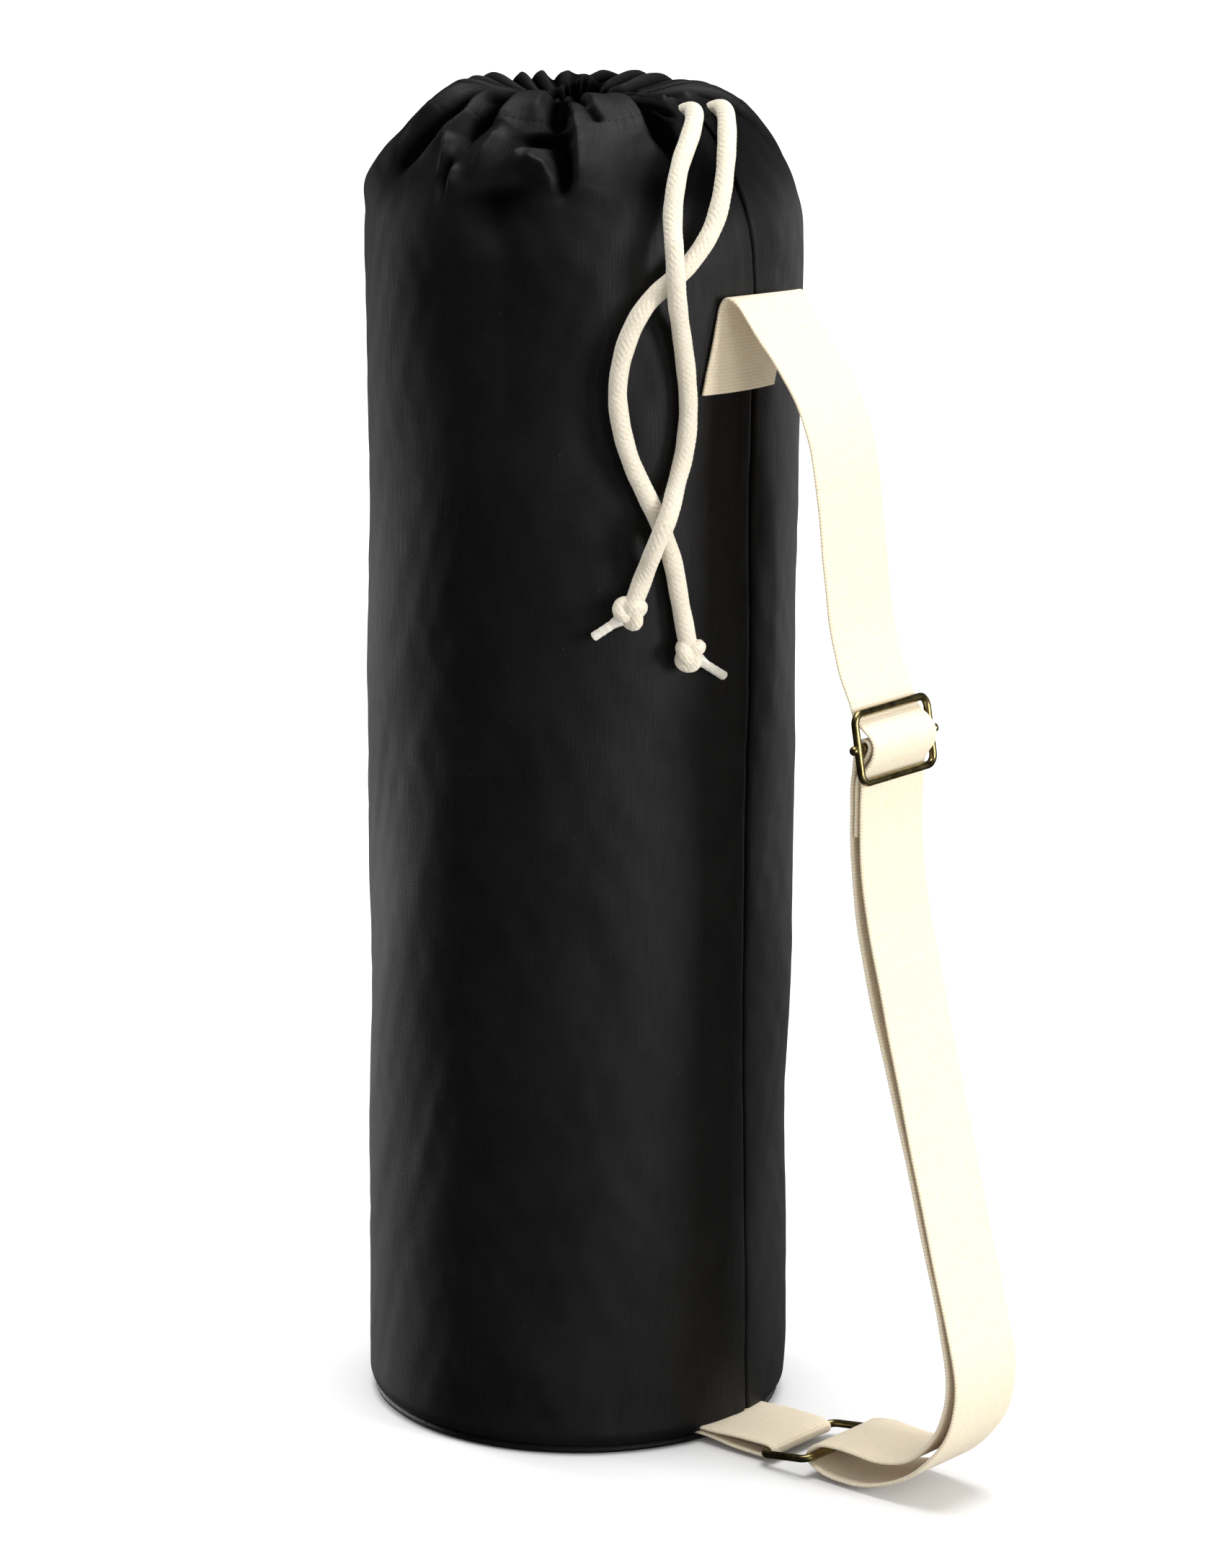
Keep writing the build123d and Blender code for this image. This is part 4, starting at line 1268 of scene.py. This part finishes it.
def braided_tube(name, points, diameter, material):
    """A soft braided cord along a line: crossing strands stand slightly out of its surface."""
    step, strands, pitch, relief_height = 0.5 * MM, 12, 13.0 * MM, 0.11 * MM
    points = evenly(points, step)
    around = 36
    angles = np.linspace(0, 2 * math.pi, around, endpoint=False)
    along = np.arange(len(points)) * step
    turn = 2 * math.pi * along[:, None] / pitch
    right_hand = np.cos(strands / 2 * (angles[None, :] - turn))
    left_hand = np.cos(strands / 2 * (angles[None, :] + turn))
    relief = np.maximum(right_hand, left_hand) * relief_height
    uneven = 0.09 * MM * np.sin(along * 210 + 1) + 0.06 * MM * np.sin(along * 517)
    radius = diameter / 2 - 0.06 * MM + relief + uneven[:, None]
    piece = tube_mesh(name, points, radius, material)
    flat = np.zeros((len(points), around, 3))
    flat[:, :, 0] = angles[None, :] * diameter / 2 / MM
    flat[:, :, 1] = along[:, None] / MM
    ends = np.array([[0, 0, 0], [0, along[-1] / MM, 0]])
    add_cloth_coordinates(piece, np.concatenate([flat.reshape(-1, 3), ends]))
    return piece, points


def end_fans(rows, around):
    """Triangles that close both ends of a tube whose two centre points come last."""
    first, last = rows * around, rows * around + 1
    end = (rows - 1) * around
    fans = []
    for j in range(around):
        k = (j + 1) % around
        fans.append((first, k, j))
        fans.append((last, end + j, end + k))
    return fans


def make_knot(name, centre, along, material):
    """A tight overhand knot: cord in a trefoil, squeezed until its turns press together."""
    along = Vector(along).normalized()
    face = Vector((centre.x, centre.y, 0)).normalized()
    side = along.cross(face).normalized()
    depth = side.cross(along)
    t = np.linspace(0.0, 2 * math.pi, 140)
    x = np.sin(t) + 1.7 * np.sin(2 * t)
    y = np.cos(t) - 1.7 * np.cos(2 * t)
    z = -np.sin(3 * t)
    turns = [
        centre + (along * b * 1.55 + side * a * 1.62 + depth * c * 1.7) * MM for a, b, c in zip(x, y, z)
    ]
    tube, _ = braided_tube(name, np.array([p[:] for p in turns]), 5.7 * MM, material)
    join = tube.modifiers.new("join turns", "REMESH")
    join.mode = "VOXEL"
    join.voxel_size = 0.32 * MM
    soften = tube.modifiers.new("soften", "SMOOTH")
    soften.iterations = 5
    apply_modifiers(tube)
    tube.data.materials.clear()
    tube.data.materials.append(material)
    tube.data.polygons.foreach_set("use_smooth", [True] * len(tube.data.polygons))
    add_cloth_coordinates(tube, np.array([v.co[:] for v in tube.data.vertices]) / MM)
    return tube


def make_tip(name, start, end, material):
    """Shrunk sleeve over the cord's end: it narrows from the knot and is cut off square."""
    line = evenly(np.array([start, end]), 0.35 * MM)
    share = np.linspace(0, 1, len(line))
    radius = 1.80 + 0.9 * step_between(share, 0.35, 0.0)
    radius += 0.05 * np.sin(share * 31.0) + 0.10 * np.exp(-(((share - 0.97) / 0.05) ** 2))
    radius[-1] -= 0.35
    around = 32
    angles = np.linspace(0, 2 * math.pi, around, endpoint=False)
    ridges = 1.0 + 0.035 * np.cos(7 * angles) + 0.06 * np.cos(2 * angles)
    return tube_mesh(name, line, radius[:, None] * ridges[None, :] * MM, material)


def tip_end(side, knot_centre):
    """The far end of a tip's axis: the corner of its box that lies furthest from its knot."""
    low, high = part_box(f"cord_tip_{side}")
    middle = (low + high) / 2
    heading = (middle - knot_centre).normalized()
    return middle + heading * 6.0 * MM


def make_drawcord(looks):
    for side, route in (("left", TAIL_LEFT), ("right", TAIL_RIGHT)):
        metres = [tuple(c * MM for c in point) for point in route]
        line = nurbs_points(f"route_{side}", metres)
        knot_centre = Vector(metres[-1])
        far = tip_end(side, knot_centre)
        heading = (far - knot_centre).normalized()
        tail, path = braided_tube(f"drawcord_{side}", line, CORD_D, looks["cord"])
        knot = make_knot(f"overhand_knot_{side}", knot_centre, heading, looks["cord"])
        tip = make_tip(f"shrunk_tip_{side}", knot_centre + heading * 4.4 * MM, far, looks["tip"])
        for piece, node, slot in (
            (tail, f"drawcord_tail_{side}", "cord"),
            (knot, f"knot_{side}", "cord"),
            (tip, f"cord_tip_{side}", "cord_tip"),
        ):
            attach(piece, "bag")
            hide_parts(node)
    make_hidden_turn(looks["cord"])


def make_hidden_turn(look):
    """The turn of the drawcord that runs inside the hem."""
    low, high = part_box("drawcord_loop")
    radius = high.y - CORD_D / 2
    height = (low.z + high.z) / 2
    angles = np.radians(np.linspace(24.0, 346.0, 500))
    outward, rise = mouth_shift(np.degrees(angles), 1.0)
    around = radius + outward * MM
    circle = np.stack([around * np.cos(angles), around * np.sin(angles), height + rise * MM], -1)
    circle += np.array([MOUTH_DRIFT[0], MOUTH_DRIFT[1], -0.5]) * 0.8 * MM
    turn, _ = braided_tube("drawcord_hidden_turn", circle, 0.68 * CORD_D, look)
    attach(turn, "bag")
    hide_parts("drawcord_loop")


# ---- Hardware ----
def finish_hardware(look):
    """The wire parts keep their CAD shape and take the brass finish."""
    for node in ("ring", "slider_frame", "slider_bar"):
        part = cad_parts[node]
        part.data.materials.clear()
        part.data.materials.append(look)


# ---- Run ----
FAR_FOLDS = other_folds()
scene.view_settings.view_transform = "Standard"
make_camera()
make_world()
make_lights()
make_floor()
looks = {
    "canvas": canvas_material("black_canvas", folded=True),
    "piping": canvas_material("black_bias_piping", folded=False),
    "webbing": webbing_material("cream_webbing"),
    "cord": cord_material("cream_cord"),
    "tip": tip_material("shrunk_sleeve"),
    "brass": brass_material("antique_brass"),
    "black_thread": thread_material("black_thread", (0.004, 0.004, 0.004)),
    "cream_thread": thread_material("cream_thread", (0.80, 0.72, 0.57)),
}
make_bag(looks)
make_drawcord(looks)
make_strap(looks)
finish_hardware(looks["brass"])
